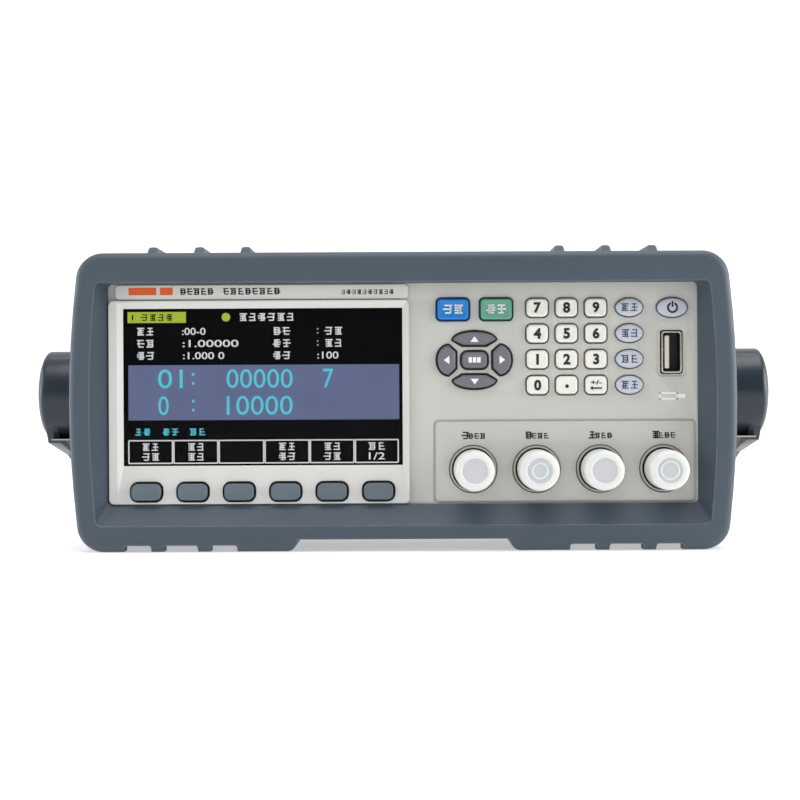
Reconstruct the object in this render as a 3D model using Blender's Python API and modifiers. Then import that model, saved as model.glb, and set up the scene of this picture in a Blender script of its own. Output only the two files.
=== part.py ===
"""Bench LCR meter: a sheet-metal case with a moulded front panel, two bumpers and a swing handle.

Sizes are in millimetres and become metres as each solid is made. X runs right across the front
panel, the front faces -Y, and Z = 0 is the surface that the meter stands on.
"""

import math

import bmesh
import bpy
from mathutils import Matrix, Vector

MM = 0.001
GAP = 0.3                      # space kept between neighbouring solids

# Case and panel
CASE_WIDTH = 215.0
CASE_BOTTOM = 8.5
CASE_TOP = 96.5
SHEET = 1.2
CORNER = 4.0
PANEL_FRONT = -167.5
PANEL_THICK = 3.0
PANEL_WIDTH = 213.6
PANEL_HEIGHT = 86.6
CENTRE_Z = 54.0                # height of the middle of the front panel
REAR_FACE = 171.5              # outer face of the rear panel
REAR_THICK = 1.5
TRAY_HEIGHT = 22.0             # upturned sides of the base
POSTS = ((-85, -120), (85, -120), (-85, 45), (85, 45))
POST_RADIUS = 3.5
POST_HEIGHT = 12.0

# Bumpers
BUMPER_FRONT = -176.5
BUMPER_REAR = 183.5
BUMPER_DEPTH = 44.0
BUMPER_TOP = 102.7
BUMPER_HALF = 111.0            # half-width at the top and bottom
BUMPER_BOW = 3.7               # extra half-width at mid-height
BUMPER_CORNER = 8.0
RIB_HEIGHT = 2.3
UPPER_RIBS = (54.0, 70.0, 86.0)
LOWER_RIBS = (68.4, 84.4)
RIB_TIP = 1.6                  # half-width of a rib at its tip and at its root
RIB_ROOT = 2.3
FOOT_STARTS = (39.6, 96.6)     # inner edges of the two feet on each side
FOOT_ENDS = 56.0
ARCH_RISE = 4.2                # height of the gap between the inner feet
LIP_WIDTH = 204.3              # visible part of the panel
LIP_HEIGHT = 76.5
LIP_DROP = 6.8                 # slope below the panel
LIP_FLARE = 3.0                # slope beside the panel, at the top and bottom
LIP_BOW = 2.2                  # how much wider that slope grows at mid-height

# Display
SCREEN_X = -48.6
SCREEN_Z = 2.5
SCREEN_WIDTH = 96.8
SCREEN_HEIGHT = 54.5
BEZEL_RISE = 2.0
BEZEL_SIDES = (-101.8, 2.1)
BEZEL_ENDS = (-37.9, 32.4)
STRIP_X = -48.8
STRIP_Z = 35.4
STRIP_WIDTH = 101.5
STRIP_HEIGHT = 5.0
STRIP_RISE = 1.2
PORT_X = 93.3                  # memory-stick port
PORT_Z = 14.0
PORT_WIDTH = 7.1
PORT_HEIGHT = 14.5

# Keys
KEY_CLEARANCE = 0.35
KEY_RISE = 1.6
FLANGE = 0.6
SOFT_KEY_PITCH = 16.06
KEYPAD_X = 46.6                # first column and top row of the number keys
KEYPAD_Z = 29.5
KEYPAD_PITCH = 10.15
KEYPAD_DROP = 8.95
OPTION_X = 78.5
PAD_X = 24.8
PAD_Z = 11.5
PAD_TILT = 0.62

# Connectors
JACK_PITCH = 22.0
JACK_X = 24.2
JACK_Z = -26.4
CAP_LENGTH = 16.0
CAP_RADIUS = 6.9

# Handle
PIVOT_Y = -67.5
HUB_RADIUS = 17.5
HUB_INNER = 130.3
HUB_OUTER = 142.0
HUB_DOME = 146.6
ARM_INNER = 137.0
ARM_OUTER = 141.5
GRIP_Y = 79.4
GRIP_Z = 4.7
GRIP_WIDTH = 26.0
GRIP_THICK = 7.0
ARM_LEAVES = 68.0              # angles round the hub between which the arm follows it
ARM_MEETS = 252.8
ARM_BELOW = [(-29.5, 24.0), (20.0, 11.6)]

# Inside
BOARD_THICK = 1.6
TRANSFORMER_AT = (-60.0, 98.0, 33.0)

# Rear panel and fan
INLET_AT = (-70.0, 38.0)
SLOT_PITCH = 7.0               # air slots in front of the fan
SLOT_FIELD = 26.5
SLOT_SPINE = 2.5
FAN_X = 62.0
FAN_SIZE = 60.0
FAN_BORE = 28.0
FAN_DEPTH = 20.0
BLADES = 7

# Planes that a flat outline can lie in: where its right, its up and its thickness point
FRONT_PLANE = Matrix(((1, 0, 0), (0, 0, -1), (0, 1, 0)))
SIDE_PLANE = Matrix(((0, 0, 1), (1, 0, 0), (0, 1, 0)))
FLOOR_PLANE = Matrix.Identity(3)


def clear_scene():
    for item in list(bpy.data.objects):
        bpy.data.objects.remove(item, do_unlink=True)


def collection(name):
    group = bpy.data.collections.new(name)
    bpy.context.scene.collection.children.link(group)
    return group


def look(name, colour, roughness, metallic=0.0):
    material = bpy.data.materials.new(name)
    material.use_nodes = True
    shader = material.node_tree.nodes["Principled BSDF"]
    shader.inputs["Base Color"].default_value = (*colour, 1.0)
    shader.inputs["Roughness"].default_value = roughness
    shader.inputs["Metallic"].default_value = metallic
    return material


clear_scene()
PARTS = collection("lcr_meter")
CUTTERS = collection("lcr_meter_cutters")

BUMPER_LOOK = look("bumper_plastic", (0.075, 0.105, 0.135), 0.55)
HUB_LOOK = look("hub_plastic", (0.022, 0.038, 0.055), 0.45)
PANEL_LOOK = look("panel_plastic", (0.56, 0.55, 0.51), 0.55)
SHEET_LOOK = look("painted_sheet", (0.52, 0.52, 0.48), 0.5)
KEY_LOOK = look("number_key", (0.84, 0.81, 0.73), 0.45)
SOFT_KEY_LOOK = look("soft_key", (0.15, 0.19, 0.21), 0.5)
OVAL_LOOK = look("oval_key", (0.56, 0.6, 0.68), 0.45)
PAD_LOOK = look("pad_key", (0.11, 0.11, 0.12), 0.5)
BLUE_LOOK = look("blue_key", (0.013, 0.238, 0.672), 0.45)
GREEN_LOOK = look("green_key", (0.16, 0.38, 0.28), 0.45)
CAP_LOOK = look("dust_cap", (0.88, 0.88, 0.89), 0.4)
METAL_LOOK = look("nickel", (0.6, 0.6, 0.58), 0.3, 1.0)
GLASS_LOOK = look("screen_glass", (0.01, 0.01, 0.012), 0.1)
BOARD_LOOK = look("circuit_board", (0.02, 0.12, 0.05), 0.5)
BLACK_LOOK = look("black_plastic", (0.02, 0.02, 0.022), 0.5)
STEEL_LOOK = look("core_steel", (0.3, 0.3, 0.3), 0.45, 0.8)


def place(name, mesh, material, group=PARTS):
    mesh.name = name
    mesh.materials.clear()
    mesh.materials.append(material)
    part = bpy.data.objects.new(name, mesh)
    group.objects.link(part)
    return part


def helper(part):
    """Turns an object into a hidden cutter or joining body."""
    for group in list(part.users_collection):
        group.objects.unlink(part)
    CUTTERS.objects.link(part)
    part.hide_render = True
    part.display_type = "WIRE"
    return part


def combine(part, other, operation):
    helper(other)
    modifier = part.modifiers.new(operation.lower(), "BOOLEAN")
    modifier.operation = operation
    modifier.object = other


def cut(part, cutter):
    combine(part, cutter, "DIFFERENCE")


def join(part, piece):
    combine(part, piece, "UNION")


def loft(name, levels, material):
    """A closed solid through outlines with equal numbers of points, each at its own depth."""
    form = bmesh.new()
    outline, depth = levels[0]
    face = form.faces.new([form.verts.new((x * MM, depth * MM, z * MM)) for x, z in outline])
    for number, (outline, depth) in enumerate(levels[1:]):
        grown = bmesh.ops.extrude_face_region(form, geom=[face])
        if number > 0:
            bmesh.ops.delete(form, geom=[face], context="FACES_ONLY")
        face = next(item for item in grown["geom"] if isinstance(item, bmesh.types.BMFace))
        for vertex, (x, z) in zip(face.verts, outline):
            vertex.co = (x * MM, depth * MM, z * MM)
    bmesh.ops.recalc_face_normals(form, faces=form.faces)
    mesh = bpy.data.meshes.new(name)
    form.to_mesh(mesh)
    form.free()
    return place(name, mesh, material)


def plate(name, outlines, plane, start, thickness, material):
    """A flat sheet cut to the first outline, with the other outlines as holes."""
    curve = bpy.data.curves.new(name, "CURVE")
    curve.dimensions = "2D"
    curve.fill_mode = "BOTH"
    curve.extrude = thickness * MM / 2
    for outline in outlines:
        spline = curve.splines.new("POLY")
        spline.points.add(len(outline) - 1)
        for point, (right, up) in zip(spline.points, outline):
            point.co = (right * MM, up * MM, 0.0, 1.0)
        spline.use_cyclic_u = True
    flat = bpy.data.objects.new(name + "_outline", curve)
    PARTS.objects.link(flat)
    normal = Vector(abs(value) for value in plane.col[2])
    flat.matrix_world = Matrix.Translation(normal * (start + thickness / 2) * MM) @ plane.to_4x4()
    bpy.context.view_layer.update()
    evaluated = flat.evaluated_get(bpy.context.evaluated_depsgraph_get())
    mesh = bpy.data.meshes.new_from_object(evaluated)
    form = bmesh.new()
    form.from_mesh(mesh)
    bmesh.ops.remove_doubles(form, verts=form.verts, dist=0.001 * MM)
    bmesh.ops.recalc_face_normals(form, faces=form.faces)
    form.to_mesh(mesh)
    form.free()
    part = place(name, mesh, material)
    part.matrix_world = flat.matrix_world
    bpy.data.objects.remove(flat, do_unlink=True)
    return part


def turned(name, profile, origin, axis, steps, material):
    """A solid of revolution through (radius, height) points, listed down its outer side."""
    mesh = bpy.data.meshes.new(name)
    points = [(radius * MM, 0.0, height * MM) for radius, height in profile]
    mesh.from_pydata(points, [(i, i + 1) for i in range(len(points) - 1)], [])
    part = place(name, mesh, material)
    screw = part.modifiers.new("turn", "SCREW")
    screw.steps = steps
    screw.render_steps = steps
    screw.use_merge_vertices = True
    screw.merge_threshold = 0.002 * MM
    part.location = Vector(origin) * MM
    part.rotation_euler = Vector((0, 0, 1)).rotation_difference(Vector(axis)).to_euler()
    return part


def block(name, low, high, material):
    """A plain box between two corners."""
    size = Vector(high) - Vector(low)
    middle = (Vector(high) + Vector(low)) / 2
    form = bmesh.new()
    bmesh.ops.create_cube(form, size=1.0)
    bmesh.ops.scale(form, vec=size * MM, verts=form.verts)
    bmesh.ops.translate(form, vec=middle * MM, verts=form.verts)
    mesh = bpy.data.meshes.new(name)
    form.to_mesh(mesh)
    form.free()
    return place(name, mesh, material)


def rounded(width, height, radius, centre=(0.0, 0.0), steps=2, side_steps=1):
    """Outline of a rounded rectangle, anticlockwise from its lower right corner."""
    outline = []
    for quarter, (across, up) in enumerate(((1, -1), (1, 1), (-1, 1), (-1, -1))):
        middle = (across * (width / 2 - radius), up * (height / 2 - radius))
        for step in range(steps + 1):
            angle = math.radians(90 * (quarter - 1 + step / steps))
            outline.append((middle[0] + radius * math.cos(angle), middle[1] + radius * math.sin(angle)))
        if quarter in (0, 2):
            straight = height - 2 * radius
            for step in range(1, side_steps):
                rise = height / 2 - radius - straight * step / side_steps
                outline.append((across * width / 2, up * rise))
    return [(x + centre[0], z + centre[1]) for x, z in outline]


def circle(radius, centre=(0.0, 0.0), steps=24):
    turns = [2 * math.pi * step / steps for step in range(steps)]
    return [(centre[0] + radius * math.cos(a), centre[1] + radius * math.sin(a)) for a in turns]


def bowed(outline, bow, half_height, middle):
    """Pushes the sides of an outline outward, most at mid-height."""
    result = []
    for x, z in outline:
        push = bow * (1 - ((z - middle) / half_height) ** 2)
        result.append((x + math.copysign(push, x) if abs(x) > 60 else x, z))
    return result


# ---- bumpers -------------------------------------------------------------------------------


def bumper_outline(inset, rib):
    """Outer outline of a bumper: ribbed top, bowed sides, feet and ribs below."""
    top = BUMPER_TOP - inset
    bottom = inset
    half = BUMPER_HALF - inset
    radius = BUMPER_CORNER - inset
    raised = bottom + RIB_HEIGHT
    inner, outer = FOOT_STARTS
    lower = [(inner - 5.0, bottom + ARCH_RISE), (inner, bottom), (FOOT_ENDS, bottom), (FOOT_ENDS + 0.8, raised)]
    for x in LOWER_RIBS:
        lower += [(x - RIB_ROOT, raised), (x - RIB_TIP, bottom), (x + RIB_TIP, bottom), (x + RIB_ROOT, raised)]
    lower += [(outer - 0.8, raised), (outer, bottom)]
    side = []
    for quarter, middle_z in ((0, bottom + radius), (1, top - radius)):
        for step in range(5):
            angle = math.radians(90 * (quarter - 1 + step / 4))
            side.append((half - radius + radius * math.cos(angle), middle_z + radius * math.sin(angle)))
        if quarter == 0:
            straight = top - bottom - 2 * radius
            side += [(half, bottom + radius + straight * step / 6) for step in range(1, 6)]
    upper = []
    for x in reversed(UPPER_RIBS):
        upper += [(x + RIB_ROOT, top), (x + RIB_TIP, top + rib), (x - RIB_TIP, top + rib), (x - RIB_ROOT, top)]
    right = bowed(lower + side + upper, BUMPER_BOW, BUMPER_TOP / 2, BUMPER_TOP / 2)
    left = [(-x, z) for x, z in reversed(right)]
    return right + left


def bumper(name, face, inward):
    """A bumper whose outer face is at the given depth and which grows inward from it."""
    profile = ((3.2, 0.15, 0.0), (1.1, 0.7, 0.9), (0.0, 1.4, 3.2), (0.0, RIB_HEIGHT, 7.0))
    levels = [(bumper_outline(inset, rib), face + inward * depth) for inset, rib, depth in profile]
    levels.append((bumper_outline(0.0, RIB_HEIGHT), face + inward * (BUMPER_DEPTH - 1.5)))
    levels.append((bumper_outline(1.2, 1.0), face + inward * BUMPER_DEPTH))
    ring = loft(name, levels, BUMPER_LOOK)

    sleeve = rounded(CASE_WIDTH + 2 * GAP, CASE_TOP - CASE_BOTTOM + 2 * GAP, CORNER + GAP,
                     (0.0, (CASE_TOP + CASE_BOTTOM) / 2), 3)
    lip = abs(PANEL_FRONT - BUMPER_FRONT)
    pocket = loft(name + "_pocket", [(sleeve, face + inward * (lip - GAP)),
                                     (sleeve, face + inward * (BUMPER_DEPTH + 5))], BUMPER_LOOK)
    cut(ring, pocket)

    throat = rounded(LIP_WIDTH, LIP_HEIGHT, 1.7, (0.0, CENTRE_Z), 3, 4)
    mouth_width, mouth_height = LIP_WIDTH + 2 * LIP_FLARE, LIP_HEIGHT + LIP_DROP
    mouth_z = CENTRE_Z - LIP_DROP / 2
    mouth = rounded(mouth_width, mouth_height, 3.5, (0.0, mouth_z), 3, 4)
    mouth = bowed(mouth, LIP_BOW, mouth_height / 2, mouth_z)
    window = loft(name + "_window", [(throat, face + inward * (lip + 3)), (throat, face + inward * (lip - 1.3)),
                                     (mouth, face + inward * 0.6), (mouth, face - inward * 2)], BUMPER_LOOK)
    cut(ring, window)
    return ring


# ---- case ----------------------------------------------------------------------------------


def u_section(half, low, high, radius, steps=4):
    """Sheet bent over two rounded corners: along the outside, then back along the inside."""
    outside = [(half, low)]
    inside = [(half - SHEET, low)]
    for step in range(steps + 1):
        angle = math.radians(90 * step / steps)
        for side, size in ((outside, radius), (inside, radius - SHEET)):
            side.append((half - radius + size * math.cos(angle), high - radius + size * math.sin(angle)))
    outside += [(-x, z) for x, z in reversed(outside)]
    inside += [(-x, z) for x, z in reversed(inside)]
    return outside + inside[::-1]


def case_cover():
    back = REAR_FACE - REAR_THICK - GAP
    front = PANEL_FRONT + PANEL_THICK + GAP
    arch = u_section(CASE_WIDTH / 2, CASE_BOTTOM + CORNER + GAP, CASE_TOP, CORNER)
    return loft("case_cover", [(arch, back), (arch, front)], SHEET_LOOK)


def case_base():
    back = REAR_FACE - REAR_THICK - GAP
    front = PANEL_FRONT + PANEL_THICK + GAP
    half = CASE_WIDTH / 2 - SHEET - GAP
    tray = [(x, CASE_BOTTOM + TRAY_HEIGHT - z) for x, z in u_section(half, 0.0, TRAY_HEIGHT, CORNER)]
    base = loft("case_base", [(tray, back), (tray, front)], SHEET_LOOK)
    pillar = [(0, POST_HEIGHT), (POST_RADIUS, POST_HEIGHT), (POST_RADIUS, 0), (0, 0)]
    for number, (x, y) in enumerate(POSTS):
        post = turned(f"base_post_{number}", pillar, (x, y, CASE_BOTTOM + SHEET / 2), (0, 0, 1), 12, SHEET_LOOK)
        join(base, post)
    return base


# ---- keys: a shape gives the outline for an inset --------------------------------------------


def plain_key(x, z, width, height, radius, steps=2):
    def shape(inset):
        corner = max(radius - inset, 0.3)
        return rounded(width - 2 * inset, height - 2 * inset, corner, (x, z + CENTRE_Z), steps)
    return shape


def pad_key(x, z, width, height, turns):
    """A lens with a curved outer side and a faceted inner side, turned by quarter turns."""
    def shape(inset):
        wide, high = width - 2 * inset, height - 2 * inset
        outline = []
        for step in range(9):
            across = math.cos(math.pi * step / 8)
            outline.append((across * wide / 2, high * (-0.12 + PAD_TILT * math.sqrt(1.0 - across ** 2))))
        outline += [(-0.27 * wide, -high / 2), (0.27 * wide, -high / 2)]
        for _ in range(turns):
            outline = [(-up, right) for right, up in outline]
        return [(x + right, z + CENTRE_Z + up) for right, up in outline]
    return shape


def key_table():
    """Every key: name, shape, material and how far its surroundings stand off the panel."""
    keys = []
    for number in range(6):
        x = SCREEN_X - 0.2 + (number - 2.5) * SOFT_KEY_PITCH
        keys.append((f"soft_key_{number + 1}", plain_key(x, -33.75, 10.8, 6.4, 2.4), SOFT_KEY_LOOK, BEZEL_RISE))
    faces = (("7", "8", "9"), ("4", "5", "6"), ("1", "2", "3"), ("0", "point", "sign"))
    for row, names in enumerate(faces):
        z = KEYPAD_Z - KEYPAD_DROP * row
        for column, face in enumerate(names):
            x = KEYPAD_X + KEYPAD_PITCH * column
            keys.append((f"number_key_{face}", plain_key(x, z, 7.5, 6.4, 1.8), KEY_LOOK, 0.0))
        keys.append((f"option_key_{row + 1}", plain_key(OPTION_X, z, 9.5, 6.5, 3.2), OVAL_LOOK, 0.0))
    keys.append(("measure_key", plain_key(17.4, 29.1, 11.1, 7.5, 1.4), BLUE_LOOK, 0.0))
    keys.append(("setup_key", plain_key(32.4, 29.1, 11.1, 7.5, 1.4), GREEN_LOOK, 0.0))
    keys.append(("pad_up", pad_key(PAD_X, PAD_Z + 7.5, 15.2, 5.0, 0), PAD_LOOK, 0.0))
    keys.append(("pad_left", pad_key(PAD_X - 9.7, PAD_Z, 10.7, 6.7, 1), PAD_LOOK, 0.0))
    keys.append(("pad_down", pad_key(PAD_X, PAD_Z - 7.5, 15.2, 5.0, 2), PAD_LOOK, 0.0))
    keys.append(("pad_right", pad_key(PAD_X + 9.6, PAD_Z, 10.7, 6.7, 3), PAD_LOOK, 0.0))
    keys.append(("pad_centre", plain_key(PAD_X, PAD_Z, 9.2, 6.1, 2.2), PAD_LOOK, 0.0))
    keys.append(("power_button", plain_key(93.4, 29.4, 10.7, 6.9, 3.4), OVAL_LOOK, 0.0))
    return keys


def key(name, shape, material, stand_off):
    behind = PANEL_FRONT + PANEL_THICK + GAP
    front = PANEL_FRONT - stand_off - KEY_RISE
    levels = [(shape(-FLANGE), behind + 1.0), (shape(-FLANGE), behind), (shape(0.0), behind - 0.01),
              (shape(0.0), front + 0.5), (shape(0.5), front)]
    return loft(name, levels, material)


# ---- panel and display ---------------------------------------------------------------------


def jack_positions():
    return [(JACK_X + JACK_PITCH * number, JACK_Z + CENTRE_Z) for number in range(4)]


def front_panel(keys):
    outline = rounded(PANEL_WIDTH, PANEL_HEIGHT, CORNER, (0.0, (CASE_TOP + CASE_BOTTOM) / 2), 3)
    window = rounded(SCREEN_WIDTH + 2.2, SCREEN_HEIGHT + 2.2, 1.0, (SCREEN_X, SCREEN_Z + CENTRE_Z), 2)
    port = rounded(PORT_WIDTH + 0.7, PORT_HEIGHT + 0.7, 0.8, (PORT_X, PORT_Z + CENTRE_Z), 2)
    holes = [shape(-KEY_CLEARANCE) for _, shape, _, _ in keys]
    jacks = [circle(6.6, centre, 16) for centre in jack_positions()]
    return plate("front_panel", [outline, window, port] + holes + jacks, FRONT_PLANE, PANEL_FRONT,
                 PANEL_THICK, PANEL_LOOK)


def display_bezel(keys):
    left, right = BEZEL_SIDES
    low, high = BEZEL_ENDS
    middle = ((left + right) / 2, (low + high) / 2 + CENTRE_Z)
    outline = rounded(right - left, high - low, 1.8, middle, 3)
    opening = rounded(SCREEN_WIDTH, SCREEN_HEIGHT, 0.8, (SCREEN_X, SCREEN_Z + CENTRE_Z), 2)
    holes = [shape(-KEY_CLEARANCE) for name, shape, _, _ in keys if name.startswith("soft_key")]
    return plate("display_bezel", [outline, opening] + holes, FRONT_PLANE, PANEL_FRONT - BEZEL_RISE,
                 BEZEL_RISE - GAP, PANEL_LOOK)


def display():
    middle = (SCREEN_X, SCREEN_Z + CENTRE_Z)
    strip = rounded(STRIP_WIDTH, STRIP_HEIGHT, 1.4, (STRIP_X, STRIP_Z + CENTRE_Z), 2)
    plate("name_strip", [strip], FRONT_PLANE, PANEL_FRONT - STRIP_RISE, STRIP_RISE - GAP, PANEL_LOOK)
    glass = rounded(SCREEN_WIDTH + 1.6, SCREEN_HEIGHT + 1.6, 0.8, middle, 2)
    plate("screen_window", [glass], FRONT_PLANE, PANEL_FRONT, 1.6, GLASS_LOOK)
    module = rounded(105.0, 62.0, 1.0, middle, 2)
    plate("display_module", [module], FRONT_PLANE, PANEL_FRONT + PANEL_THICK + GAP, 5.5, BLACK_LOOK)


def usb_port():
    front = PANEL_FRONT + GAP
    x, z = PORT_X, PORT_Z + CENTRE_Z
    outline = rounded(PORT_WIDTH, PORT_HEIGHT, 0.7, (x, z))
    shell = loft("usb_port", [(outline, front + 17), (outline, front)], METAL_LOOK)
    cut(shell, block("usb_cavity", (x - 2.7, front - 1, z - 6.4), (x + 2.7, front + 15, z + 6.4), METAL_LOOK))
    tongue = block("usb_tongue", (x - 2.2, front + 1.5, z - 5.5), (x - 0.4, front + 15.5, z + 5.5), BLACK_LOOK)
    join(shell, tongue)


def jacks_and_caps():
    for number, (x, z) in enumerate(jack_positions(), 1):
        contact = [(0.0, 13.5), (1.3, 13.5), (1.3, 5.0), (4.1, 5.0)]
        barrel = [(4.1, 13.5), (4.8, 13.5), (4.8, 0.6)]
        collar = [(7.1, 0.6), (7.1, 1.4), (8.05, 0.9), (8.05, GAP), (6.0, GAP)]
        tail = [(6.0, -PANEL_THICK - 8.0), (0.0, -PANEL_THICK - 8.0)]
        jack = contact + barrel + collar + tail
        turned(f"bnc_jack_{number}", jack, (x, PANEL_FRONT, z), (0, -1, 0), 16, METAL_LOOK)
        top = CAP_LENGTH
        face = [(0.0, top - 0.8), (3.1, top - 0.8), (3.3, top), (4.3, top), (CAP_RADIUS - 0.9, top - 0.6)]
        skirt = [(CAP_RADIUS - 0.1, top - 2.2), (CAP_RADIUS, 1.6)]
        hollow = [(5.6, 1.6), (5.6, top - 2.0), (0.0, top - 2.0)]
        cap = face + skirt + hollow
        turned(f"bnc_cap_{number}", cap, (x, PANEL_FRONT, z), (0, -1, 0), 16, CAP_LOOK)


# ---- inside and rear -----------------------------------------------------------------------


def boards():
    behind = PANEL_FRONT + PANEL_THICK + GAP
    top, bottom, left, right = 38.0, -40.0, -100.5, 101.5
    under_display, under_keypad = -29.2, -1.0
    bar_left, bar_right = 6.0, 13.0
    outline = [(bar_right, bottom), (bar_right, under_keypad), (right, under_keypad), (right, top),
               (bar_left, top), (bar_left, under_display), (left, under_display), (left, bottom)]
    flat = [(x, z + CENTRE_Z) for x, z in outline]
    cutout = rounded(9.0, 17.0, 0.8, (PORT_X, PORT_Z + CENTRE_Z), 1)
    plate("key_board", [flat, cutout], FRONT_PLANE, behind + 2.6, BOARD_THICK, BOARD_LOOK)
    main = rounded(196.0, 190.0, 2.0, (0.0, -45.0), 2)
    plate("main_board", [main], FLOOR_PLANE, CASE_BOTTOM + 13.0, BOARD_THICK, BOARD_LOOK)


def transformer():
    x, y, z = TRANSFORMER_AT
    floor = CASE_BOTTOM + SHEET + GAP
    core = block("transformer", (x - 28, y - 22, floor), (x + 28, y + 22, floor + 46), STEEL_LOOK)
    winding = block("transformer_winding", (x - 19, y - 31, z - 15), (x + 19, y + 31, z + 15), STEEL_LOOK)
    join(core, winding)


def rear_panel():
    outline = rounded(PANEL_WIDTH, PANEL_HEIGHT, CORNER, (0.0, (CASE_TOP + CASE_BOTTOM) / 2), 3)
    inlet = rounded(27.6, 20.6, 2.0, INLET_AT, 2)
    slots = []
    for row in range(-3, 4):
        rise = SLOT_PITCH * row
        reach = math.sqrt(SLOT_FIELD ** 2 - rise ** 2)
        for side in (-1, 1):
            middle = FAN_X + side * (reach + SLOT_SPINE) / 2
            slots.append(rounded(reach - SLOT_SPINE, 3.8, 1.6, (middle, CENTRE_Z + rise), 1))
    return plate("rear_panel", [outline, inlet] + slots, FRONT_PLANE, REAR_FACE - REAR_THICK, REAR_THICK,
                 SHEET_LOOK)


def power_inlet():
    outer = REAR_FACE + GAP
    flange = rounded(50.0, 24.0, 4.0, INLET_AT)
    shell = rounded(27.0, 20.0, 1.8, INLET_AT)
    well = rounded(24.4, 16.8, 2.0, INLET_AT)
    levels = [(flange, outer + 2.0), (flange, outer), (shell, outer - 0.01), (shell, outer - 18)]
    body = loft("power_inlet", levels, BLACK_LOOK)
    cut(body, loft("inlet_cavity", [(well, outer - 15.5), (well, outer + 3)], BLACK_LOOK))
    for number, (across, up) in enumerate(((-7.0, -2.0), (0.0, 2.0), (7.0, -2.0))):
        x, z = INLET_AT[0] + across, INLET_AT[1] + up
        low, high = (x - 1.0, outer - 17, z - 2.0), (x + 1.0, outer - 3.0, z + 2.0)
        join(body, block(f"inlet_pin_{number}", low, high, METAL_LOOK))


def fan():
    back = REAR_FACE - REAR_THICK - GAP
    middle = (FAN_X, CENTRE_Z)
    frame = plate("fan_frame", [rounded(FAN_SIZE, FAN_SIZE, 4.0, middle, 2), circle(FAN_BORE, middle, 32)],
                  FRONT_PLANE, back - FAN_DEPTH, FAN_DEPTH, BLACK_LOOK)
    front = back - FAN_DEPTH
    disc = [(0, 0), (13.0, 0), (13.0, -3.0), (0, -3.0)]
    join(frame, turned("fan_motor", disc, (FAN_X, front + 3.2, CENTRE_Z), (0, 1, 0), 20, BLACK_LOOK))
    for number in range(3):
        strut = block(f"fan_strut_{number}", (10.0, -1.2, -1.5), (FAN_BORE + 1.0, 1.2, 1.5), BLACK_LOOK)
        strut.rotation_euler.y = math.radians(90 + 120 * number)
        strut.location = Vector((FAN_X, front + 1.6, CENTRE_Z)) * MM
        join(frame, strut)
    drum = [(0, 14.0), (12.4, 14.0), (12.4, 0), (0, 0)]
    rotor = turned("fan_rotor", drum, (FAN_X, front + 4.5, CENTRE_Z), (0, 1, 0), 20, BLACK_LOOK)
    for number in range(BLADES):
        blade = block(f"fan_blade_{number}", (11.0, -6.0, -0.6), (FAN_BORE - 1.2, 6.0, 0.6), BLACK_LOOK)
        spin = Matrix.Rotation(math.radians(360 * number / BLADES), 4, "Y")
        pitch = Matrix.Rotation(math.radians(38), 4, "X")
        centre = Vector((FAN_X, front + 11.5, CENTRE_Z)) * MM
        blade.matrix_world = Matrix.Translation(centre) @ spin @ pitch
        join(rotor, blade)


# ---- handle --------------------------------------------------------------------------------


def arm_outline():
    """Side view of an arm: round the hub, down its lower edge, round the grip and back up."""
    radius = HUB_RADIUS - 0.4
    outline = []
    for step in range(19):
        angle = math.radians(ARM_LEAVES + (ARM_MEETS - ARM_LEAVES) * step / 18)
        outline.append((PIVOT_Y + radius * math.cos(angle), CENTRE_Z + radius * math.sin(angle)))
    outline += ARM_BELOW
    front, back = GRIP_Y - GRIP_WIDTH / 2, GRIP_Y + GRIP_WIDTH / 2
    low, high = GRIP_Z - GRIP_THICK / 2, GRIP_Z + GRIP_THICK / 2
    outline += [(front, low), (back - 2.0, low), (back - 0.6, low + 0.6), (back, low + 2.0), (back, high - 2.0),
                (back - 1.4, high)]
    return outline


def handle():
    for name, side in (("left", -1), ("right", 1)):
        boss = [(0, 28.6), (5.4, 28.6), (6.0, 28.0), (6.0, 22.5), (16.5, 22.5), (16.5, GAP), (0, GAP)]
        foot = (side * CASE_WIDTH / 2, PIVOT_Y, CENTRE_Z)
        turned(f"pivot_boss_{name}", boss, foot, (side, 0, 0), 24, HUB_LOOK)
        start = ARM_INNER if side > 0 else -ARM_OUTER
        arm = plate(f"handle_arm_{name}", [arm_outline()], SIDE_PLANE, start, ARM_OUTER - ARM_INNER, HUB_LOOK)
        hub = [(0, HUB_DOME)]
        for step in range(1, 5):
            angle = math.radians(90 * step / 4)
            rise = (HUB_DOME - HUB_OUTER) * math.cos(angle)
            hub.append(((HUB_RADIUS - 1.5) * math.sin(angle), HUB_OUTER + rise))
        hub += [(HUB_RADIUS, HUB_OUTER - 1.4), (HUB_RADIUS, HUB_INNER), (6.3, HUB_INNER), (6.3, HUB_INNER + 6.4),
                (0, HUB_INNER + 6.4)]
        drum = turned(f"hub_drum_{name}", hub, (0, PIVOT_Y, CENTRE_Z), (side, 0, 0), 24, HUB_LOOK)
        join(arm, drum)
    section = rounded(GRIP_WIDTH, GRIP_THICK, 3.0, (GRIP_Y, GRIP_Z), 3)
    reach = ARM_INNER - GAP
    plate("handle_grip", [section], SIDE_PLANE, -reach, 2 * reach, HUB_LOOK)


def build():
    keys = key_table()
    bumper("front_bumper", BUMPER_FRONT, 1)
    bumper("rear_bumper", BUMPER_REAR, -1)
    case_cover()
    case_base()
    front_panel(keys)
    display_bezel(keys)
    display()
    for name, shape, material, stand_off in keys:
        key(name, shape, material, stand_off)
    usb_port()
    jacks_and_caps()
    boards()
    transformer()
    rear_panel()
    power_inlet()
    fan()
    handle()


build()
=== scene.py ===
import math

import bpy
from mathutils import Matrix, Vector


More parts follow.
